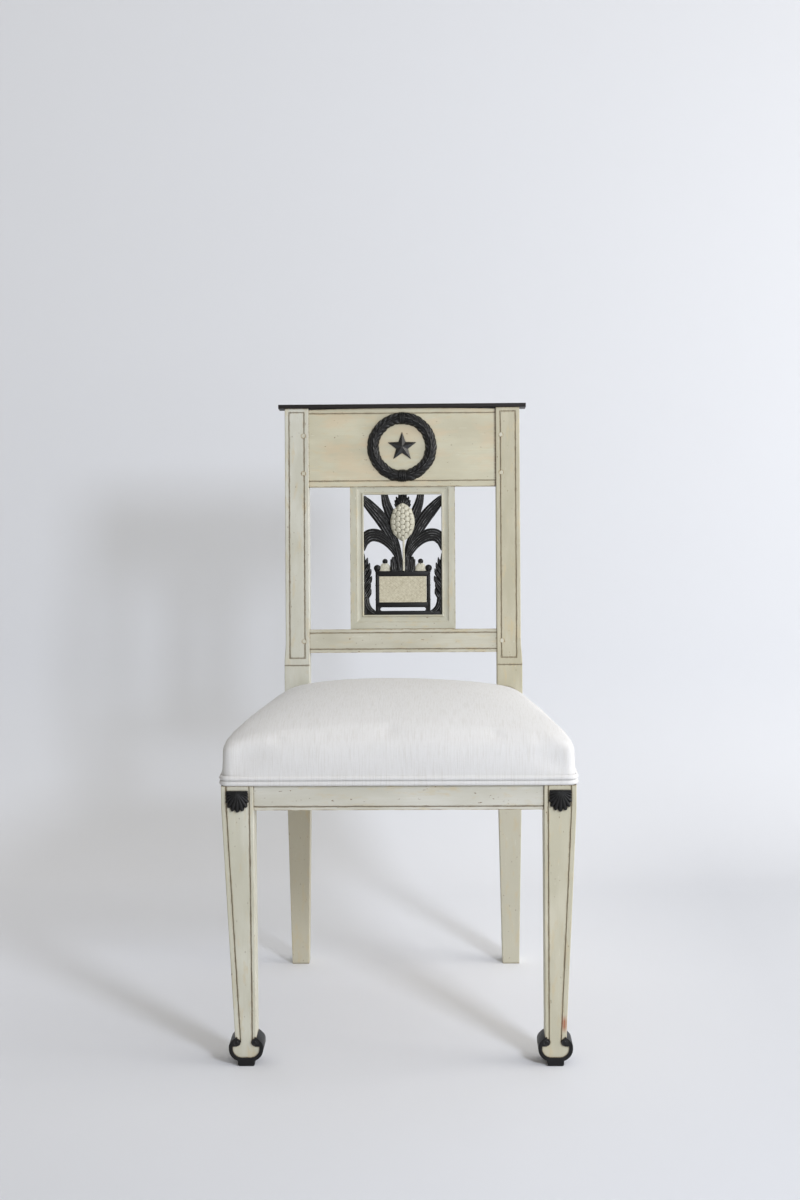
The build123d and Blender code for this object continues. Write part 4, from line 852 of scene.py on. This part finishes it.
def make_openwork():
    plant = plant_right()
    for leaf in plant:
        rooted(leaf, PLANTER_RIM)
    right = plant + acanthus_right()
    for piece in right:
        kept_behind_frame(piece)
    settle(assembled(both_sides(right), "openwork_leaves", 50, ON_PANEL), BLACK, "black_paint", "splat_openwork")
    planter = both_sides(planter_right()) + planter_middle()
    settle(assembled(planter, "planter_frame", 50, ON_PANEL), BLACK, "black_paint")


make_openwork()

# %% [markdown]
# ## The pineapple
# The fruit is half an egg covered with five columns of scales. Every other column is shifted by half a scale, and
# each scale's round tip lies over the foot of the one above it. One scale is modelled and copied over the face.
# Above it a crown of blunt black leaves fills a low dome under the frame.

# %% Fruit, scales and crown
FRUIT_CENTRE = 140.4
FRUIT_HALF_WIDTH = 18.4
FRUIT_HALF_HEIGHT = 28.9
FRUIT_RISE = 8.0
SCALE_ACROSS = 7.3
SCALE_UP = 8.1
TAPER_ABOVE, TAPER_BELOW = 0.26, 0.38       # how much narrower the fruit's two ends are than an egg's
CROWN_TIPS = ((0.0, 184.0), (5.4, 182.6), (9.4, 179.0), (11.6, 173.8), (12.0, 168.2))
CROWN_TIPS_FRONT = ((2.4, 178.8), (6.4, 175.6), (8.2, 170.6))


def fruit_place(x, y):
    """A point of the fruit's face and the direction straight out of it, from a place on the flat drawing."""
    flat = (x / FRUIT_HALF_WIDTH) ** 2 + (y / FRUIT_HALF_HEIGHT) ** 2
    z = math.sqrt(max(0.05, 1 - flat))
    out = Vector((x / FRUIT_HALF_WIDTH ** 2, y / FRUIT_HALF_HEIGHT ** 2, z / FRUIT_RISE)).normalized()
    return Vector((x, FRUIT_CENTRE + y, PANEL_THICKNESS + FRUIT_RISE * z)), out


def ball(segments, rings, radius=1):
    return basic(bpy.ops.mesh.primitive_uv_sphere_add, segments=segments, ring_count=rings, radius=radius)


def one_scale():
    """A flattened ball, pulled up at its upper end like the tip of a shingle."""
    piece = ball(20, 12)
    for vertex in piece.data.vertices:
        x, y, z = vertex.co
        lift = 1.3 * max(0.0, y + 0.3) ** 1.4 * max(0.0, 1 - x * x)
        blunt = math.copysign(abs(y) ** 0.85, y)
        vertex.co = Vector((x * SCALE_ACROSS * 0.57, blunt * SCALE_UP * 0.53, z * 1.5 + lift)) * MM
    return piece


def make_fruit():
    """The egg and its scales, then both ends drawn in a little."""
    egg = ball(48, 24)
    for vertex in egg.data.vertices:
        flat = max(vertex.co.z, -0.02)
        vertex.co = Vector((vertex.co.x * FRUIT_HALF_WIDTH, FRUIT_CENTRE + vertex.co.y * FRUIT_HALF_HEIGHT,
                            PANEL_THICKNESS + flat * (FRUIT_RISE - 0.5))) * MM
    pattern = one_scale()
    pieces = [egg]
    for column in range(-2, 3):
        for row in range(-4, 5):
            y = (row + 0.5 * (column % 2)) * SCALE_UP
            if abs(y) > FRUIT_HALF_HEIGHT - 2.0 * abs(column) - 1.0:
                continue
            bow = math.sqrt(max(0.0, 1 - 0.80 * (y / FRUIT_HALF_HEIGHT) ** 2))
            spot, out = fruit_place(column * SCALE_ACROSS * bow * 0.97, y)
            right = Vector((0, 1, 0)).cross(out).normalized()
            turn = Matrix((right, out.cross(right), out)).transposed().to_4x4()
            swing = Matrix.Rotation(random.uniform(-0.10, 0.10), 4, "Z")
            narrow = Matrix.Diagonal((0.45 + 0.55 * bow, 0.7 + 0.3 * bow, 1, 1))
            scale = linked_copy(pattern)
            scale.data.transform(Matrix.Translation(spot * MM) @ turn @ swing @ narrow)
            for vertex in scale.data.vertices:
                vertex.co.z = max(vertex.co.z, PANEL_THICKNESS * MM)
            pieces.append(scale)
    bpy.data.objects.remove(pattern)
    fruit = joined(pieces, "pineapple_fruit")
    for vertex in fruit.data.vertices:
        up = vertex.co.y / (FRUIT_HALF_HEIGHT * MM) - FRUIT_CENTRE / FRUIT_HALF_HEIGHT
        vertex.co.x *= 1 - (TAPER_ABOVE if up > 0 else TAPER_BELOW) * min(abs(up), 1) ** 3
    return assembled([fruit], "pineapple_fruit", 60, ON_PANEL)


def make_crown():
    """A low dome of blunt leaves under the frame: a broad one up the middle, others that end along its outline, and
    shorter ones in front.
    """
    leaves = [carved_leaf([(0, 150), (0, 164), (0, 174), (0, 182)], [6.5, 7.6, 6.8, 3.4], 5.0, 1.8, 5, 0.7)]
    for tips, foot, base in ((CROWN_TIPS, 162, 6.0), (CROWN_TIPS_FRONT, 161, 7.2)):
        for x, y in tips:
            for sign in ((-1, 1) if x else (1,)):
                start, tip = Vector((sign * x * 0.45, foot)), Vector((sign * x, y))
                leaves.append(carved_leaf([start, (start + tip) / 2, tip], [2.2, 2.8, 2.4, 0.9],
                                          base + 0.3 * random.random(), 2.2, 2, 0.9, rows=9, columns=8))
    for leaf in leaves:
        kept_behind_frame(leaf)
    return assembled(leaves, "pineapple_crown", 50, ON_PANEL)


def make_buds():
    """Two round-shouldered buds on the planter's top rail."""
    right = carved_leaf([(27.0, 65.5), (27.0, 70), (27.0, 74), (27.0, 78.0)], [9.4, 9.4, 8.5, 6.6, 4.2], 5.0, 1.8,
                        1, 0.15, columns=14, rows=16)
    return assembled(both_sides([right]), "pale_buds", 50, ON_PANEL)


def make_finials():
    """Turned balls, two on the planter's posts and one on each bud, each with a narrow collar under it."""
    finials = []
    for x, y, radius in ((38.9, 70.8, 5.3), (27.0, 81.0, 4.1)):
        top = ball(32, 20, radius * MM)
        collar = basic(bpy.ops.mesh.primitive_torus_add, major_segments=32, minor_segments=10,
                       major_radius=radius * 0.5 * MM, minor_radius=radius * 0.2 * MM)
        top.data.transform(UPRIGHT)
        collar.data.transform(Matrix.Translation((0, -radius * 0.94 * MM, 0)) @ UPRIGHT)
        turned = joined([top, collar], "finial")
        turned.data.transform(Matrix.Translation(Vector((x, y, PANEL_THICKNESS / 2)) * MM))
        finials += both_sides([turned])
    return assembled(finials, "turned_finials", 60, ON_PANEL)


settle(make_finials(), BLACK, "black_paint", "planter_finials")
settle(make_buds(), CREAM, "pale_paint", "planter_buds")
settle(make_fruit(), CREAM, "pale_paint", "pineapple")
stem = bar(-0.2, 3.0, PLANTER_RIM, 116, PANEL_THICKNESS, PANEL_THICKNESS + 3.4, 1.3)
settle(assembled([stem], "pineapple_stem", 40, ON_PANEL), CREAM, "pale_paint")
settle(make_crown(), BLACK, "black_paint")

# %% [markdown]
# ## The wreath
# A laurel wreath is a ring of overlapping leaves, bound with cord at the top and bottom. The leaves start at
# the bottom binding and meet at the top one. A flattened ring carries them; each leaf is a small lens.

# %% Wreath
WREATH_CENTRE = 59.5
WREATH_MIDDLE = 43.6         # radius of the ring's middle line
WREATH_HALF = 8.0            # half the ring's width
WREATH_RISE = 6.0
LEAF_LENGTH, LEAF_HALF = 13.5, 3.5
CORD_RADIUS = 1.35
CORD_TURN = 2.7 / 43.7       # from one cord of a binding to the next, round the ring

# Each row: place across the ring, heading outwards, height above the ring, number of leaves in half a ring.
LAUREL_ROWS = ((-0.66, -0.34, 2.0, 14), (0.68, 0.36, 2.0, 16), (-0.02, 0.08, 2.9, 12))


def ring_place(angle, side):
    """A point on the ring: angle round it from the bottom, side from -1 inside to 1 outside."""
    radius = WREATH_MIDDLE + WREATH_HALF * side
    height = WREATH_RISE * math.sqrt(max(0.0, 1 - side * side))
    return Vector((radius * math.sin(angle), WREATH_CENTRE - radius * math.cos(angle), height))


def ring_base():
    ring = basic(bpy.ops.mesh.primitive_torus_add, major_segments=128, minor_segments=24, major_radius=1,
                 minor_radius=0.25)
    for vertex in ring.data.vertices:
        side = (math.hypot(vertex.co.x, vertex.co.y) - 1) / 0.25
        place = ring_place(math.atan2(vertex.co.x, -vertex.co.y), clamped(side, -1, 1))
        place.z = 0 if vertex.co.z < 0 else max(0.0, place.z - 0.4)
        vertex.co = place * MM
    return ring


def laurel_leaf(side, heading, lift):
    """A pointed lens lying on the ring at its bottom, with a ridge along its middle."""
    leaf = basic(bpy.ops.mesh.primitive_grid_add, x_subdivisions=8, y_subdivisions=10, size=2)
    # the middle ridge's mark: there the paint is rubbed and a painted highlight lies
    wear_and_sheen = leaf.data.attributes.new("wear_and_sheen", "FLOAT", "POINT")
    for vertex in leaf.data.vertices:
        across, share = vertex.co.x, (vertex.co.y + 1) / 2
        wide = LEAF_HALF * max(0.02, math.sin(math.pi * share ** 0.8)) ** 0.75
        along_mm = LEAF_LENGTH * (share - 0.5)
        place = side + (across * wide + heading * along_mm) / WREATH_HALF
        spot = ring_place(along_mm / WREATH_MIDDLE, clamped(place, -1, 1))
        beyond = max(0.0, abs(place) - 1) * WREATH_HALF
        spot.y -= math.copysign(min(beyond, 1.4), place)
        body = lift * (0.25 + 0.75 * share) * (1 - abs(across) ** 1.3)
        spot.z = max(0.1, spot.z - 0.4 + body)
        wear_and_sheen.data[vertex.index].value = max(0.0, 1 - 2.6 * abs(across)) * share
        vertex.co = spot * MM
    return leaf


def cord_piece(points, radius):
    """A round cord through the points, as a mesh."""
    curve = bpy.data.curves.new("cord", "CURVE")
    curve.dimensions = "3D"
    curve.bevel_depth = radius
    curve.bevel_resolution = 2
    curve.use_fill_caps = True
    line = curve.splines.new("POLY")
    line.points.add(len(points) - 1)
    for spot, point in zip(line.points, points):
        spot.co = (*point, 1)
    cord = bpy.data.objects.new("cord", curve)
    bpy.context.scene.collection.objects.link(cord)
    start_piece(cord)
    bpy.ops.object.convert(target="MESH")
    return bpy.context.object


def binding(angle, count):
    """Cords side by side across the ring."""
    cords = []
    for index in range(count):
        turn = angle + (index - (count - 1) / 2) * CORD_TURN
        points = [(ring_place(turn, side / 8) + Vector((0, 0, 0.9))) * MM for side in range(-8, 9)]
        cord = cord_piece(points, CORD_RADIUS * MM)
        for vertex in cord.data.vertices:
            vertex.co.z = max(vertex.co.z, 0)
        cords.append(cord)
    return cords


def make_wreath():
    pieces = [ring_base()]
    about = Matrix.Translation((0, WREATH_CENTRE * MM, 0))
    for half_ring in (-1, 1):
        for side, heading, lift, steps in LAUREL_ROWS:
            for index in range(steps):
                angle = 0.20 + (index + 0.5) / steps * (math.pi - 0.34)
                leaf = laurel_leaf(side + random.uniform(-0.08, 0.08), heading + random.uniform(-0.06, 0.06), lift)
                if half_ring < 0:
                    leaf.data.transform(Matrix.Diagonal((-1, 1, 1, 1)))
                    leaf.data.flip_normals()
                turn = half_ring * (angle + random.uniform(-0.02, 0.02))
                leaf.data.transform(about @ Matrix.Rotation(turn, 4, "Z") @ about.inverted())
                pieces.append(leaf)
    return assembled(pieces + binding(0, 4) + binding(math.pi, 3), "laurel_wreath", 45, ON_BACK)


settle(make_wreath(), BLACK, "black_paint", "wreath")

# %% [markdown]
# ## Shells and scroll feet
# A shell is carved on the head of each front leg: ribs fan out from under its flat top, and their round ends
# make the scalloped edge. The scrolls under the legs keep their outline, with softened edges and a button in
# the middle of each volute.

# %% Shells
SHELL_TOP = 368.5 * MM
SHELL_HALF = 14.0
SHELL_STRAIGHT = 13.4        # height of its straight sides, above the round edge
SHELL_RIBS = 11
RIB_SPREAD = math.radians(77)
FAN_CENTRE = 1.5             # where the ribs' lines meet, below the flat top
RIB_START = 1.5              # from there to where each rib begins


def shell_edge(angle):
    """Distance from under the flat top to the edge, for an angle from straight down."""
    sideways = SHELL_HALF / max(0.001, abs(math.sin(angle)))
    drop = SHELL_STRAIGHT - FAN_CENTRE
    if sideways * math.cos(angle) <= drop:
        return sideways
    return drop * math.cos(angle) + math.sqrt(SHELL_HALF ** 2 - (drop * math.sin(angle)) ** 2)


def make_shell(middle, front, name):
    ribs = []
    for index in range(SHELL_RIBS):
        angle = -RIB_SPREAD + 2 * RIB_SPREAD * index / (SHELL_RIBS - 1)
        length = shell_edge(angle)
        way = Vector((math.sin(angle), -math.cos(angle)))
        start, end = [Vector((0, -FAN_CENTRE)) + way * reach for reach in (RIB_START, length + 0.2)]
        half = length * RIB_SPREAD / (SHELL_RIBS - 1)
        widths = [half * share for share in (0.16, 0.55, 0.85, 1.05, 1.05, 0.55)]
        ribs.append(carved_leaf([start, (start + end) / 2, end], widths, 1.0, 2.0 + 0.6 * math.cos(angle), 1, -0.5,
                                columns=8, rows=16))
    ribs += [bar(-SHELL_HALF, SHELL_HALF, -2.6, 0, 0, 2.6, 0.9), bar(-4.0, 4.0, -6.5, -1.4, 0, 3.2, 1.5)]
    return assembled(ribs, name, 50, Matrix.Translation((middle, front, SHELL_TOP)) @ UPRIGHT)


for side in ("left", "right"):
    low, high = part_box("leg_shell_" + side)
    shell = make_shell((low.x + high.x) / 2, high.y, "carved_shell_" + side)
    settle(shell, BLACK, "black_paint", "leg_shell_" + side)

# %% Scroll feet
VOLUTE_SPREAD = 11.7 * MM
VOLUTE_HEIGHT = 32.0 * MM
VOLUTE_BUTTON = 4.5 * MM     # radius of the button in its eye


def volute_button(x, front, z):
    """A turned button: three rings, the middle one highest."""
    button = basic(bpy.ops.mesh.primitive_circle_add, vertices=32, radius=VOLUTE_BUTTON, fill_type="NGON")
    bpy.ops.object.mode_set(mode="EDIT")
    bpy.ops.mesh.extrude_region_move(TRANSFORM_OT_translate={"value": (0, 0, 0.7 * MM)})
    for inset, rise in ((0.8, 0.3), (0.6, -0.6), (0.5, 0.0), (0.5, 0.8), (0.9, 0.3)):
        bpy.ops.mesh.inset(thickness=inset * MM)
        bpy.ops.transform.translate(value=(0, 0, rise * MM))
    bpy.ops.object.mode_set(mode="OBJECT")
    button.data.transform(Matrix.Translation((x, front, z)) @ UPRIGHT)
    return button


def make_scroll(side):
    """A copy of the sawn scroll with softened edges, and its two buttons."""
    node = NODES["foot_scroll_" + side]
    low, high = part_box("foot_scroll_" + side)
    body = linked_copy(node)
    body.parent = None
    body.matrix_world = Matrix.Identity(4)
    body.data.transform(node.matrix_world)
    start_piece(body)
    bpy.ops.object.mode_set(mode="EDIT")
    bpy.ops.mesh.select_all(action="SELECT")
    bpy.ops.mesh.remove_doubles(threshold=0.02 * MM)
    bpy.ops.mesh.normals_make_consistent(inside=False)
    bpy.ops.object.mode_set(mode="OBJECT")
    modified(body, "BEVEL", width=0.9 * MM, segments=3, limit_method="ANGLE", angle_limit=math.radians(50))
    buttons = [volute_button((low.x + high.x) / 2 + sign * VOLUTE_SPREAD, low.y + 0.3 * MM, VOLUTE_HEIGHT)
               for sign in (-1, 1)]
    scroll = assembled([body] + buttons, "scroll_foot_" + side, 45)
    settle(scroll, BLACK, "black_paint", "foot_scroll_" + side)


for side in ("left", "right"):
    make_scroll(side)

# %% [markdown]
# ## The seat cushion
# Hair stuffing makes a dome that is highest in the middle and falls over soft shoulders to the upright skirt.
# A slab is shaped to that form and remeshed evenly. Cloth with air pressure inside then pulls the linen tight.
# Its lower edge is pinned where it is tacked to the rails. Last, the space for the seat frame and for the two
# posts is cut out of it.

# %% Cushion form
seat_low, seat_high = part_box("seat_cushion")
SEAT_FRONT, SEAT_BACK = seat_low.y, seat_high.y
SEAT_HALF = seat_high.x
LEG_DEPTH = 39.5 * MM
POST_FACE = SEAT_FRONT + 386 * MM        # front face of the rear posts at the seat
POST_HALF = 179.5 * MM                   # half the seat's width there
POST_INNER = 141 * MM                    # half the room between the posts
SIDE_SLOPE = (SEAT_HALF - POST_HALF) / (POST_FACE - SEAT_FRONT - LEG_DEPTH)
COVER_LINE = 374.5 * MM                  # lower edge of the cover
TACKED_TOP = COVER_LINE + 16 * MM        # below this the cover is held to the rails
SKIRT_TOP = 425 * MM
CROWN_TOP = 468 * MM
CROWN_PLACE = -30 * MM                   # the highest line, in front of the middle of the seat
SEAT_CORNER = 11 * MM                    # radius of the front corners
FRAME_INSET = 6.5 * MM                   # thickness of the stuffing in front of the rails
CLOTH_FRAMES = 16
CLOTH_MOVE = 3 * MM


def half_width(y):
    """Half the seat's width at this depth."""
    return SEAT_HALF - SIDE_SLOPE * max(0.0, y - SEAT_FRONT - LEG_DEPTH)


def past_corner(x, y):
    """How far a place lies past the middle of a front corner's rounding, sideways and forward."""
    return abs(x) - (SEAT_HALF - SEAT_CORNER), SEAT_FRONT + SEAT_CORNER - y


def at_corner(x, over_x, over_y, scale):
    """The place at the corner on the same side as x, its distance from the rounding's middle scaled."""
    return (math.copysign(SEAT_HALF - SEAT_CORNER + over_x * scale, x), SEAT_FRONT + SEAT_CORNER - over_y * scale)


def dome(x, y):
    """Height of the cushion's top: round from side to side, fuller in front than behind and on the left."""
    fullness = 2.70 if x < 0 else 2.04
    share = math.sqrt(max(0.0, 1 - abs(x / half_width(y)) ** fullness))
    if y < CROWN_PLACE:
        away = (CROWN_PLACE - y) / (CROWN_PLACE - SEAT_FRONT)
        share *= max(0.0, 1 - away ** 2.5) ** 0.58
    else:
        away = (y - CROWN_PLACE) / (SEAT_BACK - CROWN_PLACE)
        share *= max(0.0, 1 - away ** 2.16) ** 0.9
    return SKIRT_TOP + (CROWN_TOP - SKIRT_TOP) * share


def cushion_form():
    """The slab, its grid spread over the seat and crowded towards the edges, with round front corners."""
    form = slab(72, 72)
    for vertex in form.data.vertices:
        u, v = [math.sin(value * math.pi / 2) for value in vertex.co[:2]]
        y = SEAT_FRONT + (v + 1) / 2 * (SEAT_BACK - SEAT_FRONT)
        x = u * half_width(y)
        over = past_corner(x, y)
        if min(over) > 0 and math.hypot(*over) > SEAT_CORNER:
            x, y = at_corner(x, *over, SEAT_CORNER / math.hypot(*over))
        vertex.co = (x, y, dome(x, y) if vertex.co.z > -0.5 else COVER_LINE)
    form.name = "linen_cushion"
    return form


def blown(piece):
    """Pulls the cover tight over its stuffing: cloth under pressure, pinned below, moved 3 mm at most."""
    before = [vertex.co.copy() for vertex in piece.data.vertices]
    pins = piece.vertex_groups.new(name="tacked")
    pins.add([v.index for v in piece.data.vertices if v.co.z < TACKED_TOP], 1.0, "REPLACE")
    cloth = piece.modifiers.new("cloth", "CLOTH")
    cloth.settings.vertex_group_mass = "tacked"
    cloth.settings.use_pressure = True
    cloth.settings.uniform_pressure_force = 3.0
    cloth.settings.tension_stiffness = 30
    cloth.settings.compression_stiffness = 30
    cloth.settings.bending_stiffness = 8.0
    cloth.settings.shrink_min = 0.0
    cloth.settings.effector_weights.gravity = 0
    cloth.point_cache.frame_start = 1
    cloth.point_cache.frame_end = CLOTH_FRAMES
    for number in range(1, CLOTH_FRAMES + 1):
        bpy.context.scene.frame_set(number)
    apply_all(piece)
    furthest = 0.0
    for vertex, old in zip(piece.data.vertices, before):
        move = vertex.co - old
        furthest = max(furthest, move.length)
        if move.length > CLOTH_MOVE:
            vertex.co = old + move.normalized() * CLOTH_MOVE
    print("cloth moved at most", round(furthest / MM, 2), "mm")


def stuffed(piece):
    """Hair stuffing is never quite even: broad, low swells, and folds at the two front corners."""
    for vertex in piece.data.vertices:
        x, y, z = vertex.co
        above = z - COVER_LINE - 18 * MM
        if above >= 0:
            swell = noise.noise(Vector((x * 9, y * 9, z * 9 + 3.1))) * 1.1 * MM
            pull = noise.noise(Vector((x * 55, y * 14, 7.0))) * 0.22 * MM
            vertex.co += vertex.normal * (swell + pull) * min(1.0, above / (20 * MM))
    for vertex in piece.data.vertices:
        x, y, z = vertex.co
        if z < COVER_LINE + 1 * MM or y > SEAT_FRONT + 40 * MM:
            continue
        away = math.hypot(abs(x) - (SEAT_HALF - 2.6 * MM), y - (SEAT_FRONT + 2.6 * MM))
        below_top = clamped((SKIRT_TOP + 18 * MM - z) / (20 * MM), 0.0, 1.0)
        depth = 0.9 * MM * math.exp(-(away / (3.4 * MM)) ** 2) * below_top
        vertex.co += Vector((-math.copysign(0.7, x), 0.7, 0)) * depth


def soften_corners(piece):
    """Evens out the two front corners above the rails, where the cover is stretched most."""
    start_piece(piece)
    for vertex in piece.data.vertices:
        x, y, z = vertex.co
        near = abs(x) > SEAT_HALF - 55 * MM and y < SEAT_FRONT + 55 * MM
        vertex.select = near and z > COVER_LINE + 20 * MM
    bpy.ops.object.mode_set(mode="EDIT")
    bpy.ops.mesh.select_mode(type="VERT")
    bpy.ops.mesh.vertices_smooth(factor=0.5, repeat=10)
    bpy.ops.object.mode_set(mode="OBJECT")


def cut_away(piece, cutter):
    modified(piece, "BOOLEAN", operation="DIFFERENCE", solver="EXACT", object=cutter)
    bpy.data.objects.remove(cutter)


def frame_cutter():
    """The seat frame with its webbing and hessian: the outline of the seat, a little way in."""
    core = block((-1, SEAT_FRONT + FRAME_INSET, COVER_LINE - 0.05), (1, SEAT_BACK - FRAME_INSET, 416.2 * MM))
    for vertex in core.data.vertices:
        vertex.co.x = math.copysign(half_width(vertex.co.y) - FRAME_INSET, vertex.co.x)
    return core


def make_cushion():
    cushion = cushion_form()
    modified(cushion, "REMESH", mode="VOXEL", voxel_size=6.5 * MM, use_smooth_shade=True)
    blown(cushion)
    stuffed(cushion)
    modified(cushion, "SUBSURF", levels=1, render_levels=1)
    soften_corners(cushion)
    cut_away(cushion, frame_cutter())
    for sign in (-1, 1):
        near, far = sorted((sign * POST_INNER, sign * 0.4))
        cut_away(cushion, block((near, POST_FACE - 0.5 * MM, 0.2), (far, SEAT_BACK + 0.1, 0.6)))
    smooth_angle(cushion, 50)
    settle(cushion, LINEN, "linen", "seat_cushion")


make_cushion()

# %% [markdown]
# ## Double welt
# Two cords covered with the same linen hide the tacks along the cover's lower edge: one run goes round the
# front and the sides, the other along the back. Sewn by hand, they waver a little.

# %% Welt cords
WELT_RADIUS = 3.3 * MM
WELT_GAP = 0.12 * MM         # between the cords and the cover


def welt_path():
    """Points round the seat from the left post to the right one, with the corners rounded."""
    end = POST_FACE - 0.6 * MM
    half = [(half_width(end), end), (SEAT_HALF, SEAT_FRONT + LEG_DEPTH)]
    for step in range(7):
        turn = math.radians(step * 15)
        half.append(at_corner(1, math.cos(turn), math.sin(turn), SEAT_CORNER))
    return [(-x, y) for x, y in half] + half[::-1]


def refined(path, step):
    """The path with points at even steps."""
    made = []
    for (x0, y0), (x1, y1) in zip(path, path[1:]):
        count = max(1, int(math.hypot(x1 - x0, y1 - y0) / step))
        made += [(x0 + (x1 - x0) * i / count, y0 + (y1 - y0) * i / count) for i in range(count)]
    return made + [path[-1]]


def welt_run(path, name):
    cords = []
    for layer in range(2):
        height = COVER_LINE + (2 * layer + 1) * (WELT_RADIUS + 0.05 * MM)
        points = []
        for x, y in refined(path, 6 * MM):
            wave = noise.noise(Vector((x * 22, y * 22, layer * 5.0))) * 0.45 * MM
            points.append((x, y, height + (wave if layer else abs(wave) * 0.4)))
        cords.append(cord_piece(points, WELT_RADIUS))
    return joined(cords, name)


def outside_cover(piece):
    """The cords lie flat against the cover: what would sink into it is pushed out to its face."""
    for vertex in piece.data.vertices:
        x, y = vertex.co.x, vertex.co.y
        side, front, back = half_width(y) + WELT_GAP, SEAT_FRONT - WELT_GAP, SEAT_BACK + WELT_GAP
        inside = (side - abs(x), y - front, back - y)
        over = past_corner(x, y)
        if min(over) > 0:
            radius = math.hypot(*over)
            if radius < SEAT_CORNER + WELT_GAP:
                vertex.co.x, vertex.co.y = at_corner(x, *over, (SEAT_CORNER + WELT_GAP) / radius)
        elif min(inside) > 0:
            nearest = inside.index(min(inside))
            if nearest == 0:
                vertex.co.x = math.copysign(side, x)
            else:
                vertex.co.y = front if nearest == 1 else back


def make_welt():
    around = welt_run(welt_path(), "welt_around_seat")
    inner = POST_INNER - 0.1 * MM
    rear = welt_run([(-inner, SEAT_BACK), (inner, SEAT_BACK)], "welt_rear")
    welt = joined([around, rear], "linen_double_welt")
    outside_cover(welt)
    smooth_angle(welt, 60)
    settle(welt, LINEN, "linen", "double_welt")


make_welt()

# %% [markdown]
# ## Webbing
# Three jute straps run from front to back and three across. Each goes over one and under the next.

# %% Woven straps
WEB_WIDTH = 50 * MM
WEB_THICKNESS = 1.5 * MM
WEB_MIDDLE = 413.6 * MM
WEB_LIFT = 0.8 * MM
WEB_ACROSS = [place * 96 * MM for place in (-1, 0, 1)]
WEB_ALONG = [SEAT_FRONT + (205.5 + place * 100) * MM for place in (-1, 0, 1)]
WEB_INSET = 11 * MM


def strap(places, at, index, lengthwise):
    """One strap whose height follows its crossings."""
    made = slab(8, 72)
    for vertex in made.data.vertices:
        side, share = vertex.co.x, (vertex.co.y + 1) / 2
        across = at + side * WEB_WIDTH / 2
        if lengthwise:
            low, high = SEAT_FRONT + WEB_INSET, SEAT_BACK - WEB_INSET
            if abs(across) > POST_INNER - WEB_INSET:
                high = POST_FACE - 1 * MM
        else:
            high = half_width(across) - WEB_INSET
            low = -high
        along = low + share * (high - low)
        height = WEB_MIDDLE + (0.5 if vertex.co.z > -0.5 else -0.5) * WEB_THICKNESS
        for number, place in enumerate(places):
            near = max(0.0, 1 - abs(along - place) / WEB_WIDTH)
            height += (1 if (number + index) % 2 else -1) * WEB_LIFT * math.sin(near * math.pi / 2) ** 2
        vertex.co = (across, along, height) if lengthwise else (along, across, height)
    if not lengthwise:
        made.data.flip_normals()
    return made


def make_webbing():
    lengthwise = [strap(WEB_ALONG, at, index, True) for index, at in enumerate(WEB_ACROSS)]
    crosswise = [strap(WEB_ACROSS, at, index + 1, False) for index, at in enumerate(WEB_ALONG)]
    settle(assembled(lengthwise, "webbing_front_to_back", 50), WEBBING, "jute", "seat_webbing")
    settle(assembled(crosswise, "webbing_side_to_side", 50), WEBBING_ACROSS, "jute")


make_webbing()
